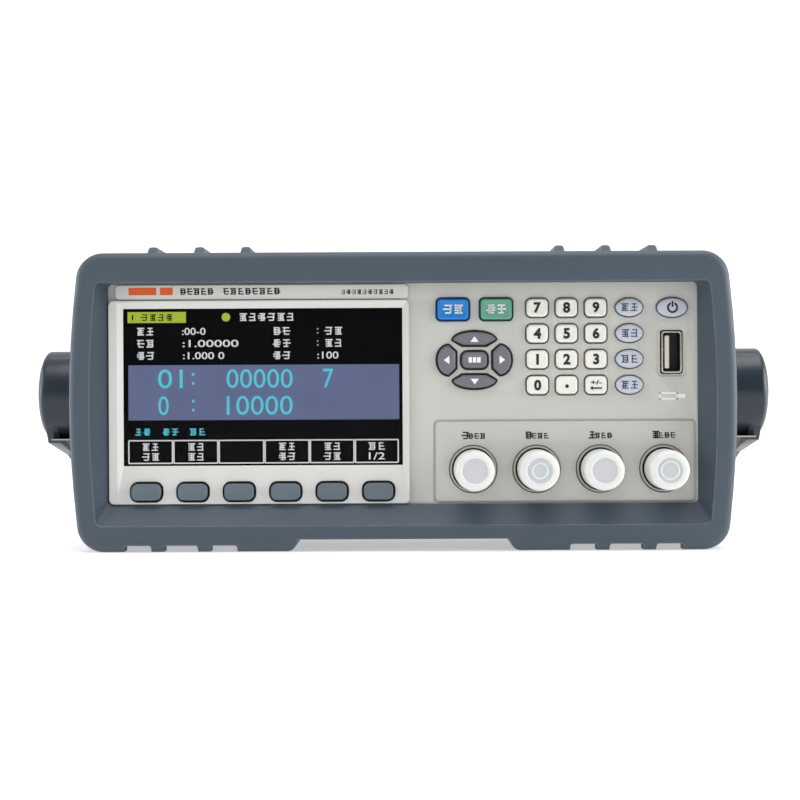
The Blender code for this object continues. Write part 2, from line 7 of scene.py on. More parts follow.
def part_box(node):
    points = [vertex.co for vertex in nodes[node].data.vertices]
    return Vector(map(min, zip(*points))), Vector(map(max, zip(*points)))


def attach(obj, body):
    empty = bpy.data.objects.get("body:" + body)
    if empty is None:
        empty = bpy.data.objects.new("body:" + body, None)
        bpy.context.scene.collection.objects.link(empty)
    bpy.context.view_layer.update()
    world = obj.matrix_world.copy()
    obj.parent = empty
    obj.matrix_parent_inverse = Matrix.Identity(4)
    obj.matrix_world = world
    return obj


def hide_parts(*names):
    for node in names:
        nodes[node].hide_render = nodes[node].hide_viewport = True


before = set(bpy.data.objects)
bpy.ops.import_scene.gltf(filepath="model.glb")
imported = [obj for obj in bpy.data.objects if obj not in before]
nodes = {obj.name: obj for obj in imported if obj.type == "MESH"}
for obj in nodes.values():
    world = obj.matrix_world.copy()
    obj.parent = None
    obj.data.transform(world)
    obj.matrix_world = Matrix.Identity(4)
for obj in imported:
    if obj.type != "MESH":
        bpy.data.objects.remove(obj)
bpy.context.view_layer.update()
mm = 0.001
through = 5.0       # how far a cutting tool reaches past what it cuts
lift = 0.03         # how far print stands proud of its surface
forward = (0, -1, 0)
backward = (0, 1, 0)


# small helpers: lengths are millimetres

def fromHex(code):
    channels = [int(code[i:i + 2], 16) / 255 for i in (0, 2, 4)]
    return [c / 12.92 if c <= 0.04045 else ((c + 0.055) / 1.055) ** 2.4 for c in channels]


def boxOf(node):
    low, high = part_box(node)
    return low / mm, high / mm


def middleOf(low, high):
    return (low.x + high.x) / 2, (low.z + high.z) / 2


def clearSelection():
    if bpy.context.object and bpy.context.object.mode != "OBJECT":
        bpy.ops.object.mode_set(mode="OBJECT")
    bpy.ops.object.select_all(action="DESELECT")


def makeActive(piece):
    clearSelection()
    piece.select_set(True)
    bpy.context.view_layer.objects.active = piece


def applyPlace(piece):
    makeActive(piece)
    bpy.ops.object.transform_apply(location=True, rotation=True, scale=True)
    return piece


def addBlock(name, low, high):
    clearSelection()
    middle = (Vector(low) + Vector(high)) / 2 * mm
    bpy.ops.mesh.primitive_cube_add(size=1, location=middle)
    piece = bpy.context.object
    piece.name = name
    piece.scale = (Vector(high) - Vector(low)) * mm
    return applyPlace(piece)


# a block between two values along each axis, given in either order
def addSpan(name, xs, ys, zs):
    return addBlock(name, *zip(*(sorted(pair) for pair in (xs, ys, zs))))


def addRound(name, centre, axis, radius, depth, sides=64):
    clearSelection()
    turn = Vector((0, 0, 1)).rotation_difference(Vector(axis)).to_euler()
    bpy.ops.mesh.primitive_cylinder_add(vertices=sides, radius=radius * mm, depth=depth * mm,
                                        location=Vector(centre) * mm, rotation=turn)
    piece = bpy.context.object
    piece.name = name
    return applyPlace(piece)


def openEdit(piece, choice="SELECT", kind=None):
    makeActive(piece)
    bpy.ops.object.mode_set(mode="EDIT")
    if kind:
        bpy.ops.mesh.select_mode(type=kind)
    bpy.ops.mesh.select_all(action=choice)


def leaveEdit():
    bpy.ops.object.mode_set(mode="OBJECT")


def pickEdges(piece, test):
    openEdit(piece, "DESELECT", "EDGE")
    leaveEdit()
    spots = piece.data.vertices
    for edge in piece.data.edges:
        edge.select = bool(test(*(spots[end].co / mm for end in edge.vertices)))
    bpy.ops.object.mode_set(mode="EDIT")


def pickFaces(piece, test):
    openEdit(piece, "DESELECT", "FACE")
    leaveEdit()
    for face in piece.data.polygons:
        face.select = bool(test(face.center / mm, face.normal))
    bpy.ops.object.mode_set(mode="EDIT")


def pickFlat(piece, axis, value):
    pickFaces(piece, lambda centre, normal: abs(centre[axis] - value) < 0.01 and abs(normal[axis]) > 0.99)


def bevelPicked(width, segments):
    bpy.ops.mesh.bevel(offset=width * mm, segments=segments, profile=0.5, affect="EDGES", clamp_overlap=True)
    leaveEdit()


# rounds the corners whose edges run along one axis: 0, 1 or 2
def roundAlong(piece, axis, radius, segments=6):
    others = [i for i in range(3) if i != axis]
    pickEdges(piece, lambda a, b: all(abs(a[i] - b[i]) < 1e-3 for i in others))
    bevelPicked(radius, segments)


# rounds the outline of the flat face at one place along an axis
def softenFace(piece, axis, value, width, segments=3):
    pickFlat(piece, axis, value)
    bpy.ops.mesh.region_to_loop()
    bevelPicked(width, segments)


def extrudeBack(depth):
    bpy.ops.mesh.extrude_region()
    bpy.ops.transform.translate(value=(0, depth * mm, 0))


def turnOutward():
    bpy.ops.mesh.select_all(action="SELECT")
    bpy.ops.mesh.normals_make_consistent(inside=False)
    leaveEdit()


def splitAt(piece, axis, level):
    openEdit(piece)
    spot, normal = [0.0] * 3, [0.0] * 3
    spot[axis], normal[axis] = level * mm, 1.0
    bpy.ops.mesh.bisect(plane_co=spot, plane_no=normal, use_fill=False)
    leaveEdit()


def useModifier(piece, kind, **settings):
    makeActive(piece)
    modifier = piece.modifiers.new(kind.lower(), kind)
    for name, value in settings.items():
        setattr(modifier, name, value)
    bpy.ops.object.modifier_apply(modifier=modifier.name)


# cuts or joins another mesh with a piece and removes it
def shape(piece, tool, operation="DIFFERENCE"):
    useModifier(piece, "BOOLEAN", operation=operation, object=tool, solver="EXACT")
    bpy.data.objects.remove(tool)


def joinPieces(name, pieces):
    clearSelection()
    for piece in pieces:
        piece.select_set(True)
    bpy.context.view_layer.objects.active = pieces[0]
    bpy.ops.object.join()
    pieces[0].name = name
    return pieces[0]


def softenAll(piece, width, segments=2, angle=40):
    useModifier(piece, "BEVEL", width=width * mm, segments=segments, limit_method="ANGLE",
                angle_limit=math.radians(angle), use_clamp_overlap=True)


def smooth(piece, angle=40):
    makeActive(piece)
    bpy.ops.object.shade_smooth_by_angle(angle=math.radians(angle))


def paint(piece, look):
    piece.data.materials.clear()
    piece.data.materials.append(materials[look])


def done(piece, look, body, slot, *replaced, angle=None):
    if angle:
        smooth(piece, angle)
    paint(piece, look)
    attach(piece, body)
    if replaced:
        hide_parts(*replaced)
    return piece


def roundedBlock(name, low, high, radius, segments=6):
    piece = addBlock(name, low, high)
    roundAlong(piece, 1, radius, segments)
    return piece


# a block centred across and up: half its width and height, then its two depths
def plate(name, x, z, wide, tall, front, back, radius=0.0, segments=6):
    piece = addBlock(name, (x - wide, front, z - tall), (x + wide, back, z + tall))
    if radius:
        roundAlong(piece, 1, radius, segments)
    return piece


# a block with any outline, given anticlockwise as seen from the front
def outlineBlock(name, outline, front, back):
    clearSelection()
    bpy.ops.mesh.primitive_circle_add(vertices=len(outline), radius=1, fill_type="NGON", location=(0, 0, 0))
    block = bpy.context.object
    block.name = name
    for spot, (x, z) in zip(block.data.vertices, outline):
        spot.co = Vector((x, front, z)) * mm
    pickFaces(block, lambda centre, normal: True)
    extrudeBack(back - front)
    turnOutward()
    return block


# turns the z axis to the one given and moves the origin
def standAt(origin, axis):
    turn = Vector((0, 0, 1)).rotation_difference(Vector(axis)).to_matrix().to_4x4()
    return Matrix.Translation(Vector(origin) * mm) @ turn


# spins a profile of (radius, height) points about its axis and stands it at the origin given
def turnedPiece(name, profile, origin, axis, sides=64):
    clearSelection()
    bpy.ops.mesh.primitive_plane_add(size=mm, location=(0, 0, 0))
    piece = bpy.context.object
    piece.name = name
    openEdit(piece, "SELECT", "VERT")
    bpy.ops.mesh.merge(type="CENTER")
    bpy.ops.transform.translate(value=(profile[0][0] * mm, 0, profile[0][1] * mm))
    for (radius, height), (nextRadius, nextHeight) in zip(profile, profile[1:]):
        step = ((nextRadius - radius) * mm, 0, (nextHeight - height) * mm)
        bpy.ops.mesh.extrude_region_move(TRANSFORM_OT_translate={"value": step})
    bpy.ops.mesh.select_all(action="SELECT")
    bpy.ops.mesh.spin(steps=sides, angle=2 * math.pi, center=(0, 0, 0), axis=(0, 0, 1))
    bpy.ops.mesh.select_all(action="SELECT")
    bpy.ops.mesh.remove_doubles(threshold=0.002 * mm)
    turnOutward()
    piece.data.transform(standAt(origin, axis))
    return piece


# materials

def connect(tree, *rows):
    for source, out, target, into in rows:
        tree.links.new(source.outputs[out], target.inputs[into])


def openGroup(name, inputs, outputs):
    group = bpy.data.node_groups.new(name, "ShaderNodeTree")
    for label, value in inputs.items():
        made = group.interface.new_socket(name=label, in_out="INPUT", socket_type="NodeSocketFloat")
        made.default_value = value
    for label in outputs:
        group.interface.new_socket(name=label, in_out="OUTPUT", socket_type="NodeSocketFloat")
    return group


# moulded texture: fine height, slow colour drift and uneven gloss
def makeGrainGroup():
    group = openGroup("mouldedGrain", {"Fine Scale": 1200.0, "Drift Scale": 25.0, "Rough Low": 0.45,
                                       "Rough High": 0.6}, ("Height", "Drift", "Roughness"))
    tree = group.nodes
    incoming, outgoing = tree.new("NodeGroupInput"), tree.new("NodeGroupOutput")
    place = tree.new("ShaderNodeTexCoord")
    fine, drift = tree.new("ShaderNodeTexNoise"), tree.new("ShaderNodeTexNoise")
    fine.inputs["Detail"].default_value = 3.0
    drift.inputs["Detail"].default_value = 4.0
    drift.inputs["Roughness"].default_value = 0.6
    gloss = tree.new("ShaderNodeMapRange")
    gloss.inputs["From Min"].default_value = 0.3
    gloss.inputs["From Max"].default_value = 0.7
    connect(group, (place, "Object", fine, "Vector"), (incoming, "Fine Scale", fine, "Scale"),
            (place, "Object", drift, "Vector"), (incoming, "Drift Scale", drift, "Scale"),
            (drift, "Fac", gloss, "Value"), (incoming, "Rough Low", gloss, "To Min"),
            (incoming, "Rough High", gloss, "To Max"), (fine, "Fac", outgoing, "Height"),
            (drift, "Fac", outgoing, "Drift"), (gloss, "Result", outgoing, "Roughness"))
    return group


# mask of lighter rounded edges, partly rubbed wear and partly a painted highlight where the rounding catches
# light: where a rounded normal leaves the true one, broken up by noise
def makeWearAndHighlightGroup():
    group = openGroup("edgeWearAndHighlight", {"Width": 0.0008, "Break Scale": 180.0}, ("Mask",))
    tree = group.nodes
    incoming, outgoing = tree.new("NodeGroupInput"), tree.new("NodeGroupOutput")
    place, geometry = tree.new("ShaderNodeTexCoord"), tree.new("ShaderNodeNewGeometry")
    rounded = tree.new("ShaderNodeBevel")
    rounded.samples = 4
    compare = tree.new("ShaderNodeVectorMath")
    compare.operation = "DOT_PRODUCT"
    ramp, breaks = tree.new("ShaderNodeMapRange"), tree.new("ShaderNodeTexNoise")
    ramp.inputs["From Min"].default_value = 0.985
    ramp.inputs["From Max"].default_value = 0.88
    product = tree.new("ShaderNodeMath")
    product.operation = "MULTIPLY"
    connect(group, (incoming, "Width", rounded, "Radius"), (rounded, "Normal", compare, 0),
            (geometry, "Normal", compare, 1), (compare, "Value", ramp, "Value"),
            (place, "Object", breaks, "Vector"), (incoming, "Break Scale", breaks, "Scale"),
            (ramp, "Result", product, 0), (breaks, "Fac", product, 1), (product, "Value", outgoing, "Mask"))
    return group


grainGroup = makeGrainGroup()
wearAndHighlightGroup = makeWearAndHighlightGroup()


def openMaterial(name):
    material = bpy.data.materials.new(name)
    material.use_nodes = True
    tree = material.node_tree
    return material, tree, tree.nodes["Principled BSDF"]


def mixColour(tree, first, second):
    mix = tree.nodes.new("ShaderNodeMix")
    mix.data_type = "RGBA"
    for number, colour in ((6, first), (7, second)):
        if isinstance(colour, bpy.types.NodeSocket):
            tree.links.new(colour, mix.inputs[number])
        else:
            mix.inputs[number].default_value = (*colour, 1)
    return mix


# a moulded or painted surface: base colour drift, grain, uneven gloss and lighter rounded edges that are partly
# rubbed wear and partly painted highlight
def moulded(name, colour, rough, bump, fine=1500.0, depth=0.05, drift=0.06, wearAndHighlight=None, metallic=0.0,
            inner=0.0):
    material, tree, shader = openMaterial(name)
    base = fromHex(colour)
    grain = tree.nodes.new("ShaderNodeGroup")
    grain.node_tree = grainGroup
    grain.inputs["Fine Scale"].default_value = fine
    grain.inputs["Drift Scale"].default_value = 30.0
    grain.inputs["Rough Low"].default_value = rough - 0.06
    grain.inputs["Rough High"].default_value = rough + 0.06
    tones = mixColour(tree, [c * (1 - drift) for c in base], [min(c * (1 + drift), 1) for c in base])
    tree.links.new(grain.outputs["Drift"], tones.inputs[0])
    surface = tones.outputs[2]
    # lighter rounded edges: partly rubbed wear, partly a painted highlight standing for light caught on the
    # rounding
    if wearAndHighlight:
        mask = tree.nodes.new("ShaderNodeGroup")
        mask.node_tree = wearAndHighlightGroup
        rubbedAndLit = mixColour(tree, surface, fromHex(wearAndHighlight))
        tree.links.new(mask.outputs["Mask"], rubbedAndLit.inputs[0])
        surface = rubbedAndLit.outputs[2]
    relief = tree.nodes.new("ShaderNodeBump")
    relief.inputs["Strength"].default_value = bump
    relief.inputs["Distance"].default_value = depth * mm
    connect(tree, (grain, "Height", relief, "Height"), (relief, "Normal", shader, "Normal"),
            (grain, "Roughness", shader, "Roughness"))
    tree.links.new(surface, shader.inputs["Base Color"])
    shader.inputs["Metallic"].default_value = metallic
    shader.inputs["Subsurface Weight"].default_value = inner
    shader.inputs["Subsurface Scale"].default_value = 2 * mm
    return material


# a lit part of the screen, slightly uneven
def glowing(name, colour, glow):
    material, tree, shader = openMaterial(name)
    colour = fromHex(colour)
    place, uneven = tree.nodes.new("ShaderNodeTexCoord"), tree.nodes.new("ShaderNodeTexNoise")
    uneven.inputs["Scale"].default_value = 90.0
    tones = mixColour(tree, [c * 0.85 for c in colour], colour)
    connect(tree, (place, "Object", uneven, "Vector"), (uneven, "Fac", tones, 0),
            (tones, 2, shader, "Emission Color"))
    shader.inputs["Emission Strength"].default_value = glow
    shader.inputs["Base Color"].default_value = (0.004, 0.004, 0.005, 1)
    shader.inputs["Roughness"].default_value = 0.6
    shader.inputs["Specular IOR Level"].default_value = 0.0
    return material


def makeGlass():
    material = moulded("windowGlass", "050506", 0.12, 0.0)
    shader = material.node_tree.nodes["Principled BSDF"]
    shader.inputs["Alpha"].default_value = 0.14
    shader.inputs["Specular IOR Level"].default_value = 0.3
    return material


materials = {
    # the lighter edge colours of the bumper, hub and sheet are partly rubbed wear and partly painted rim
    # highlight
    "bumper": moulded("bumperPlastic", "44505C", 0.5, 0.35, fine=1800, wearAndHighlight="7C8791", drift=0.02),
    "hub": moulded("hubPlastic", "1B2733", 0.32, 0.25, wearAndHighlight="56636D"),
    "panel": moulded("panelPlastic", "C8C8C2", 0.55, 0.3, fine=2200, drift=0.03),
    # the bezel and name strip are the panel's plastic; this lighter copy is painted highlight for the light their
    # raised ridges catch
    "bezel": moulded("bezelPlasticPaintedHighlight", "DEDEDA", 0.5, 0.25, fine=2200, drift=0.03),
    "sheet": moulded("powderCoat", "BDBBB3", 0.55, 0.5, fine=900, depth=0.08, wearAndHighlight="D8D6CE"),
    "numberKey": moulded("numberKeyPlastic", "EEEDE6", 0.42, 0.15, inner=0.1),
    "softKey": moulded("softKeyPlastic", "616E77", 0.45, 0.2),
    "optionKey": moulded("optionKeyPlastic", "C3C8D4", 0.4, 0.15, inner=0.1),
    "padKey": moulded("padKeyPlastic", "707278", 0.45, 0.2),
    "blueKey": moulded("blueKeyPlastic", "1C80D2", 0.35, 0.15),
    "greenKey": moulded("greenKeyPlastic", "66A58E", 0.4, 0.15),
    "cap": moulded("capPlastic", "E4E6E5", 0.38, 0.1, drift=0.02, inner=0.35),
    "capDisc": moulded("capDiscPlastic", "C9CBCE", 0.45, 0.1, drift=0.02),
    "nickel": moulded("nickelPlate", "C9C6BE", 0.28, 0.1, metallic=1.0),
    "gold": moulded("goldPlate", "D8B45A", 0.3, 0.05, metallic=1.0),
    "ring": moulded("jackRingPlastic", "B9B6AE", 0.4, 0.1),
    "black": moulded("blackPlastic", "141416", 0.5, 0.2),
    "tongue": moulded("portTongue", "E6E0D2", 0.45, 0.1),
    "board": moulded("solderMask", "1E5A36", 0.4, 0.1),
    "steel": moulded("laminatedSteel", "8A8A88", 0.45, 0.5, fine=500, metallic=0.9),
    "inkBlack": moulded("blackInk", "1C1C20", 0.6, 0.05),
    "inkWhite": moulded("whiteInk", "F4F5F4", 0.6, 0.05),
    "inkBlue": moulded("blueInk", "46506E", 0.6, 0.05),
    "inkOrange": moulded("orangeInk", "E4632A", 0.55, 0.05),
    "screenBlack": glowing("screenBlack", "08070A", 0.4),
    "screenBand": glowing("screenBand", "7A84AE", 0.9),
    "screenWhite": glowing("screenWhite", "F0F1F5", 1.1),
    "screenCyan": glowing("screenCyan", "5FD6EC", 1.15),
    "screenYellow": glowing("screenYellow", "C6D94C", 0.95),
    "screenDark": glowing("screenDark", "14161E", 0.6),
    "glass": makeGlass(),
}
print("materials ready")


# bumpers

bumper = {
    "half": 111.0, "bow": 3.7, "corner": 8.0, "frontRound": 3.0, "backRound": 1.2, "top": 102.7,
    "depth": 44.0, "ribs": (54.0, 70.0, 86.0), "lowerRibs": (68.4, 84.4), "feet": (36.4, 57.0, 96.0),
    "ribHeight": 2.3, "ribWidth": 4.4, "ribFrom": 3.0, "ribTo": 1.6, "ribLean": 0.7, "ribSlope": 3.2,
    "notchGap": 2.1, "recess": 4.2, "footRound": 4, "relief": (9, 39), "lip": 9.0, "lipTurn": 1.3, "lipEdge": 0.4,
    "throat": (204.3, 76.5), "centre": 54.0, "flare": 3.0, "flareBow": 2.2, "drop": 6.8, "pocketGap": 0.3,
    "pocketRound": 4.3,
}


# splits a block by level cuts and pushes its sides outward, most at mid-height
def bowSides(piece, low, high, amount, levels=10):
    for number in range(1, levels):
        splitAt(piece, 2, low + (high - low) * number / levels)
    middle, half = (low + high) / 2, (high - low) / 2
    for spot in piece.data.vertices:
        if abs(spot.co.x) > 60 * mm:
            push = amount * (1 - ((spot.co.z / mm - middle) / half) ** 2)
            spot.co.x += math.copysign(push * mm, spot.co.x)


# the opening of a bumper: straight at the panel, then flaring to the front and below
def bumperWindow(face, inward):
    centreZ = bumper["centre"]
    wide, tall = bumper["throat"]
    bottom, top = centreZ - tall / 2, centreZ + tall / 2
    ends = (face + inward * (bumper["lip"] + 3), face - inward * 2)
    tool = addSpan("window", (-wide / 2, wide / 2), ends, (bottom, top))
    roundAlong(tool, 1, 1.7, 5)
    turn, edge = face + inward * (bumper["lip"] - bumper["lipTurn"]), face + inward * bumper["lipEdge"]
    for level in (turn, edge):
        splitAt(tool, 1, level)
    bowSides(tool, bottom, top, 0.0, 8)
    span = abs(turn - edge)
    for spot in tool.data.vertices:
        reach = min(max((turn - spot.co.y / mm) * inward / span, 0.0), 1.0)
        rise = (spot.co.z / mm - centreZ) / (tall / 2)
        spread = bumper["flare"] + bumper["flareBow"] * (1 - rise ** 2)
        spot.co.x += math.copysign(spread * reach * mm, spot.co.x)
        if rise < 0.98:
            spot.co.z -= bumper["drop"] * reach * (1 - rise) / 2 * mm
    return tool


def upperRib(middle, face, inward):
    top, wide = bumper["top"], bumper["ribWidth"] / 2
    ends = (face + inward * bumper["ribFrom"], face + inward * (bumper["depth"] - bumper["ribTo"]))
    rib = addSpan("rib", (middle - wide, middle + wide), ends, (top - 2, top + bumper["ribHeight"]))
    for spot in rib.data.vertices:
        if spot.co.z > top * mm:
            spot.co.x += math.copysign(bumper["ribLean"] * mm, middle * mm - spot.co.x)
            if abs(spot.co.y / mm - ends[0]) < 0.01:
                spot.co.y += inward * bumper["ribSlope"] * mm
    pickEdges(rib, lambda a, b: a.z > top + 1 and b.z > top + 1)
    bevelPicked(0.9, 3)
    return rib


def makeBumper(name, node, face, inward):
    deep = (face, face + inward * bumper["depth"])
    past = (min(deep) - through, max(deep) + through)
    half, top, gap = bumper["half"], bumper["top"], bumper["pocketGap"]
    piece = addSpan(name, (-half, half), deep, (0, top))
    roundAlong(piece, 1, bumper["corner"], 10)
    bowSides(piece, 0, top, bumper["bow"])
    softenFace(piece, 1, deep[0], bumper["frontRound"], 6)
    softenFace(piece, 1, deep[1], bumper["backRound"], 3)

    caseLow, caseHigh = boxOf("case_cover")
    baseLow, _ = boxOf("case_base")
    pocketY = (face + inward * (bumper["lip"] - gap), face + inward * (bumper["depth"] + through))
    pocket = addSpan("pocket", (caseLow.x - gap, caseHigh.x + gap), pocketY,
                     (baseLow.z - gap, caseHigh.z + gap))
    roundAlong(pocket, 1, bumper["pocketRound"], 6)
    shape(piece, pocket)
    shape(piece, bumperWindow(face, inward))

    below = (-through, bumper["ribHeight"])
    notchGap, relief = bumper["notchGap"], [face + inward * depth for depth in bumper["relief"]]
    (first, second), (inner, middle, outer) = bumper["lowerRibs"], bumper["feet"]
    spans = ((middle, first - notchGap), (first + notchGap, second - notchGap), (second + notchGap, outer))
    for side in (-1, 1):
        for x in bumper["ribs"]:
            shape(piece, upperRib(side * x, face, inward), "UNION")
        for span in spans:
            notch = addSpan("notch", [side * x for x in span], past, below)
            roundAlong(notch, 1, 0.8, 3)
            shape(piece, notch)
        shape(piece, addSpan("relief", (side * middle, side * (outer + 6)), relief, below))
    radius = bumper["footRound"]
    arch = [(inner, bumper["recess"])]
    for step in range(7):                 # rounded inner ends of the feet
        angle = math.radians(90 * step / 6)
        arch.append((inner + radius - radius * math.cos(angle), radius - radius * math.sin(angle)))
    arch.append((inner + radius, -5))
    arch = arch[::-1] + [(-x, z) for x, z in arch]
    shape(piece, outlineBlock("hollow", arch, *past))
    softenAll(piece, 0.45)
    done(piece, "bumper", "case", "bumper_plastic", node, angle=35)
    print(name, "made")


makeBumper("bumperFront", "front_bumper", boxOf("front_bumper")[0].y, 1)
makeBumper("bumperRear", "rear_bumper", boxOf("rear_bumper")[1].y, -1)


# front panel

panel = {"flange": 0.6, "keyGap": 0.45, "plate": (56.1, -23.7, 91.3, 29.1), "groove": 0.7, "grooveDepth": 0.9,
         "centre": 54.0, "round": 4.0, "jackHole": 8.35, "portGap": 0.35, "portWell": (5.2, 8.5),
         "wellDepth": 0.8}
softNames = [f"soft_key_{number}" for number in range(1, 7)]
faceNames = ["7", "8", "9", "4", "5", "6", "1", "2", "3", "0", "point", "sign"]
numberNames = [f"number_key_{face}" for face in faceNames]
optionNames = [f"option_key_{number}" for number in range(1, 5)]
padNames = ["pad_up", "pad_left", "pad_down", "pad_right"]
panelKeys = numberNames + optionNames + padNames + ["pad_centre", "measure_key", "setup_key", "power_button"]
roundings = {"soft": 2.4, "number": 1.8, "measure": 1.4, "setup": 1.4, "pad": 2.2}


# middle, size and front of a key's face, from its CAD solid less the hidden flange
def keySpot(node):
    low, high = boxOf(node)
    trim = 2 * panel["flange"]
    return *middleOf(low, high), high.x - low.x - trim, high.z - low.z - trim, low.y


# a key-shaped block, grown all round, between two depths
def keyBlock(name, node, grow, front, back):
    if node in padNames:
        return padBlock(name, node, grow, front, back)
    x, z, wide, tall, _ = keySpot(node)
    wide, tall = wide + 2 * grow, tall + 2 * grow
    if node in optionNames + ["power_button"]:
        ring = [2 * math.pi * step / 56 for step in range(56)]
        wide, tall = (wide - 0.4, tall - 0.4) if grow > 0.1 else (wide, tall)
        oval = [(x + wide / 2 * math.cos(a), z + tall / 2 * math.sin(a)) for a in ring]
        return outlineBlock(name, oval, front, back)
    radius = min(roundings[node.split("_")[0]] + grow, min(wide, tall) / 2 - 0.02)
    return plate(name, x, z, wide / 2, tall / 2, front, back, radius, 7)


# a pad key: a curved outer side, two slanted corners and a flat inner side
def padBlock(name, node, grow, front, back):
    x, z, wide, tall, _ = keySpot(node)
    turns = padNames.index(node)
    if turns % 2:
        wide, tall = tall, wide
    wide, tall = wide + 2 * grow, tall + 2 * grow
    outline = []
    for step in range(25):
        across = math.cos(math.pi * step / 24)
        outline.append((across * wide / 2, tall * (-0.12 + 0.62 * math.sqrt(max(1 - across ** 2, 0)))))
    outline += [(-0.27 * wide, -tall / 2), (0.27 * wide, -tall / 2)]
    for _ in range(turns):
        outline = [(-up, right) for right, up in outline]
    return outlineBlock(name, [(x + right, z + up) for right, up in outline], front, back)


# a rounded tool that passes through a sheet from front to back, grown round the box given
def throughBlock(name, low, high, sheet, grow, radius):
    return roundedBlock(name, (low.x - grow, sheet[0].y - through, low.z - grow),
                        (high.x + grow, sheet[1].y + through, high.z + grow), radius)


def makePanel():
    low, high = sheet = boxOf("front_panel")
    piece = roundedBlock("panelFront", low, high, panel["round"])
    screenLow, screenHigh = boxOf("screen_window")
    tools = [addBlock("screenHole", (screenLow.x - 0.3, low.y - through, screenLow.z - 0.3),
                      (screenHigh.x + 0.3, high.y + through, screenHigh.z + 0.3))]
    for node in softNames + panelKeys:
        tools.append(keyBlock("keyHole", node, panel["keyGap"], low.y - through, high.y + through))
    port = boxOf("usb_port")
    tools.append(throughBlock("portHole", *port, sheet, panel["portGap"], 0.8))
    for number in range(1, 5):
        x, z = middleOf(*boxOf(f"bnc_jack_{number}"))
        tools.append(addRound("jackHole", (x, low.y, z), backward, panel["jackHole"], 12, 64))
    shape(piece, joinPieces("holes", tools))

    x, z, wide, tall = panel["plate"]
    z += panel["centre"]
    groove = panel["groove"]
    ring = plate("groove", x, z, wide / 2, tall / 2, low.y - 1, low.y + panel["grooveDepth"], 1.9)
    shape(ring, plate("core", x, z, wide / 2 - groove, tall / 2 - groove, low.y - 3, low.y + 3, 1.4))
    shape(piece, ring)
    x, z = middleOf(*port)
    wide, tall = panel["portWell"]
    shape(piece, plate("portWell", x, z, wide, tall, low.y - 1, low.y + panel["wellDepth"], 1.9))
    softenAll(piece, 0.28, angle=50)
    done(piece, "panel", "case", "panel_plastic", "front_panel", angle=30)
    print("front panel made")


makePanel()


# display: the screen's rows and columns are shares of its width and height

bezel = {"wall": 2.1, "ramp": 12.6, "depth": 1.55, "edge": 1.8, "inset": 0.8}
screen = {"behind": 0.25, "layer": 0.04, "sign": 2.7, "digit": 2.5, "reading": 6.6, "line": 0.42,
          "columns": (0.012, 0.174, 0.337, 0.502, 0.665, 0.827, 0.986), "boxTop": 0.84, "boxFoot": 0.985,
          "rows": ((":00-0", 0.25, 8.2), (":1.00000", 0.31, 19.5), (":1.000 0", 0.285, 14.4)),
          "readings": ((0.446, "01", 0.165, 8.6, "00000"), (0.617, "0", 0.14, 3.6, "10000"))}


def screenArea():
    low, high = boxOf("screen_window")
    inset = bezel["inset"]
    return low.x + inset, high.x - inset, low.z + inset, high.z - inset, high.y


def makeBezel():
    low, high = boxOf("display_bezel")
    left, right, below, above, _ = screenArea()
    piece = roundedBlock("bezel", low, high, bezel["edge"])
    shape(piece, addBlock("opening", (left, low.y - through, below), (right, high.y + through, above)))
    basin = addBlock("basin", (left, low.y, below), (right, low.y + bezel["depth"], above))
    for spot in basin.data.vertices:       # flares toward the front, with a long ramp under the screen
        if spot.co.y < (low.y + 0.1) * mm:
            wall = min(bezel["wall"], high.x - right - 0.35)
            spot.co.x += math.copysign(wall, spot.co.x - (left + right) / 2 * mm) * mm
            spot.co.z += (bezel["wall"] if spot.co.z > 60 * mm else -bezel["ramp"]) * mm
    pickFaces(basin, lambda centre, normal: normal.y < -0.99)
    extrudeBack(-2)
    leaveEdit()
    shape(piece, basin)
    holes = [keyBlock("keyHole", node, panel["keyGap"], low.y - through, high.y + through)
             for node in softNames]
    shape(piece, joinPieces("holes", holes))
    softenAll(piece, 0.2, angle=30)
    # painted lighter than the panel although it is the same plastic: painted highlight
    done(piece, "bezel", "case", "panel_plastic", "display_bezel", angle=28)
    low, high = boxOf("name_strip")
    strip = roundedBlock("nameStrip", low, high, 1.4)
    softenFace(strip, 1, low.y, 0.25, 3)
    done(strip, "bezel", "case", "panel_plastic", "name_strip", angle=40)


# sizes a flat mesh, stands it up facing the front and gives it a little thickness
def fitPrint(piece, x, z, height, front, width=None, thick=0.05):
    spots = [spot.co for spot in piece.data.vertices]
    lowX, highX = min(c.x for c in spots), max(c.x for c in spots)
    lowY, highY = min(c.y for c in spots), max(c.y for c in spots)
    tall = height * mm / (highY - lowY)
    wide = width * mm / (highX - lowX) if width else tall
    middle = Vector(((lowX + highX) / 2, (lowY + highY) / 2, 0))
    piece.data.transform(Matrix.Translation((x * mm, front * mm, z * mm))
                         @ Matrix.Rotation(math.radians(90), 4, "X")
                         @ Matrix.Diagonal((wide, tall, 1, 1)) @ Matrix.Translation(-middle))
    pickFaces(piece, lambda centre, normal: True)
    bpy.ops.mesh.remove_doubles(threshold=0.001 * mm)
    extrudeBack(thick)
    turnOutward()
    return piece


# printed characters standing on the front: middle, cap height and, if given, overall width
def flatWords(words, x, z, height, front, width=None, bold=0.0, thick=0.05):
    clearSelection()
    bpy.ops.object.text_add(location=(0, 0, 0))
    text = bpy.context.object
    text.data.body = words
    text.data.offset = bold
    text.data.resolution_u = 4
    bpy.ops.object.convert(target="MESH")
    return fitPrint(bpy.context.object, x, z, height, front, width, thick)


def bar(x, z, width, height, front, thick=0.05):
    return plate("bar", x, z, width / 2, height / 2, front, front + thick)


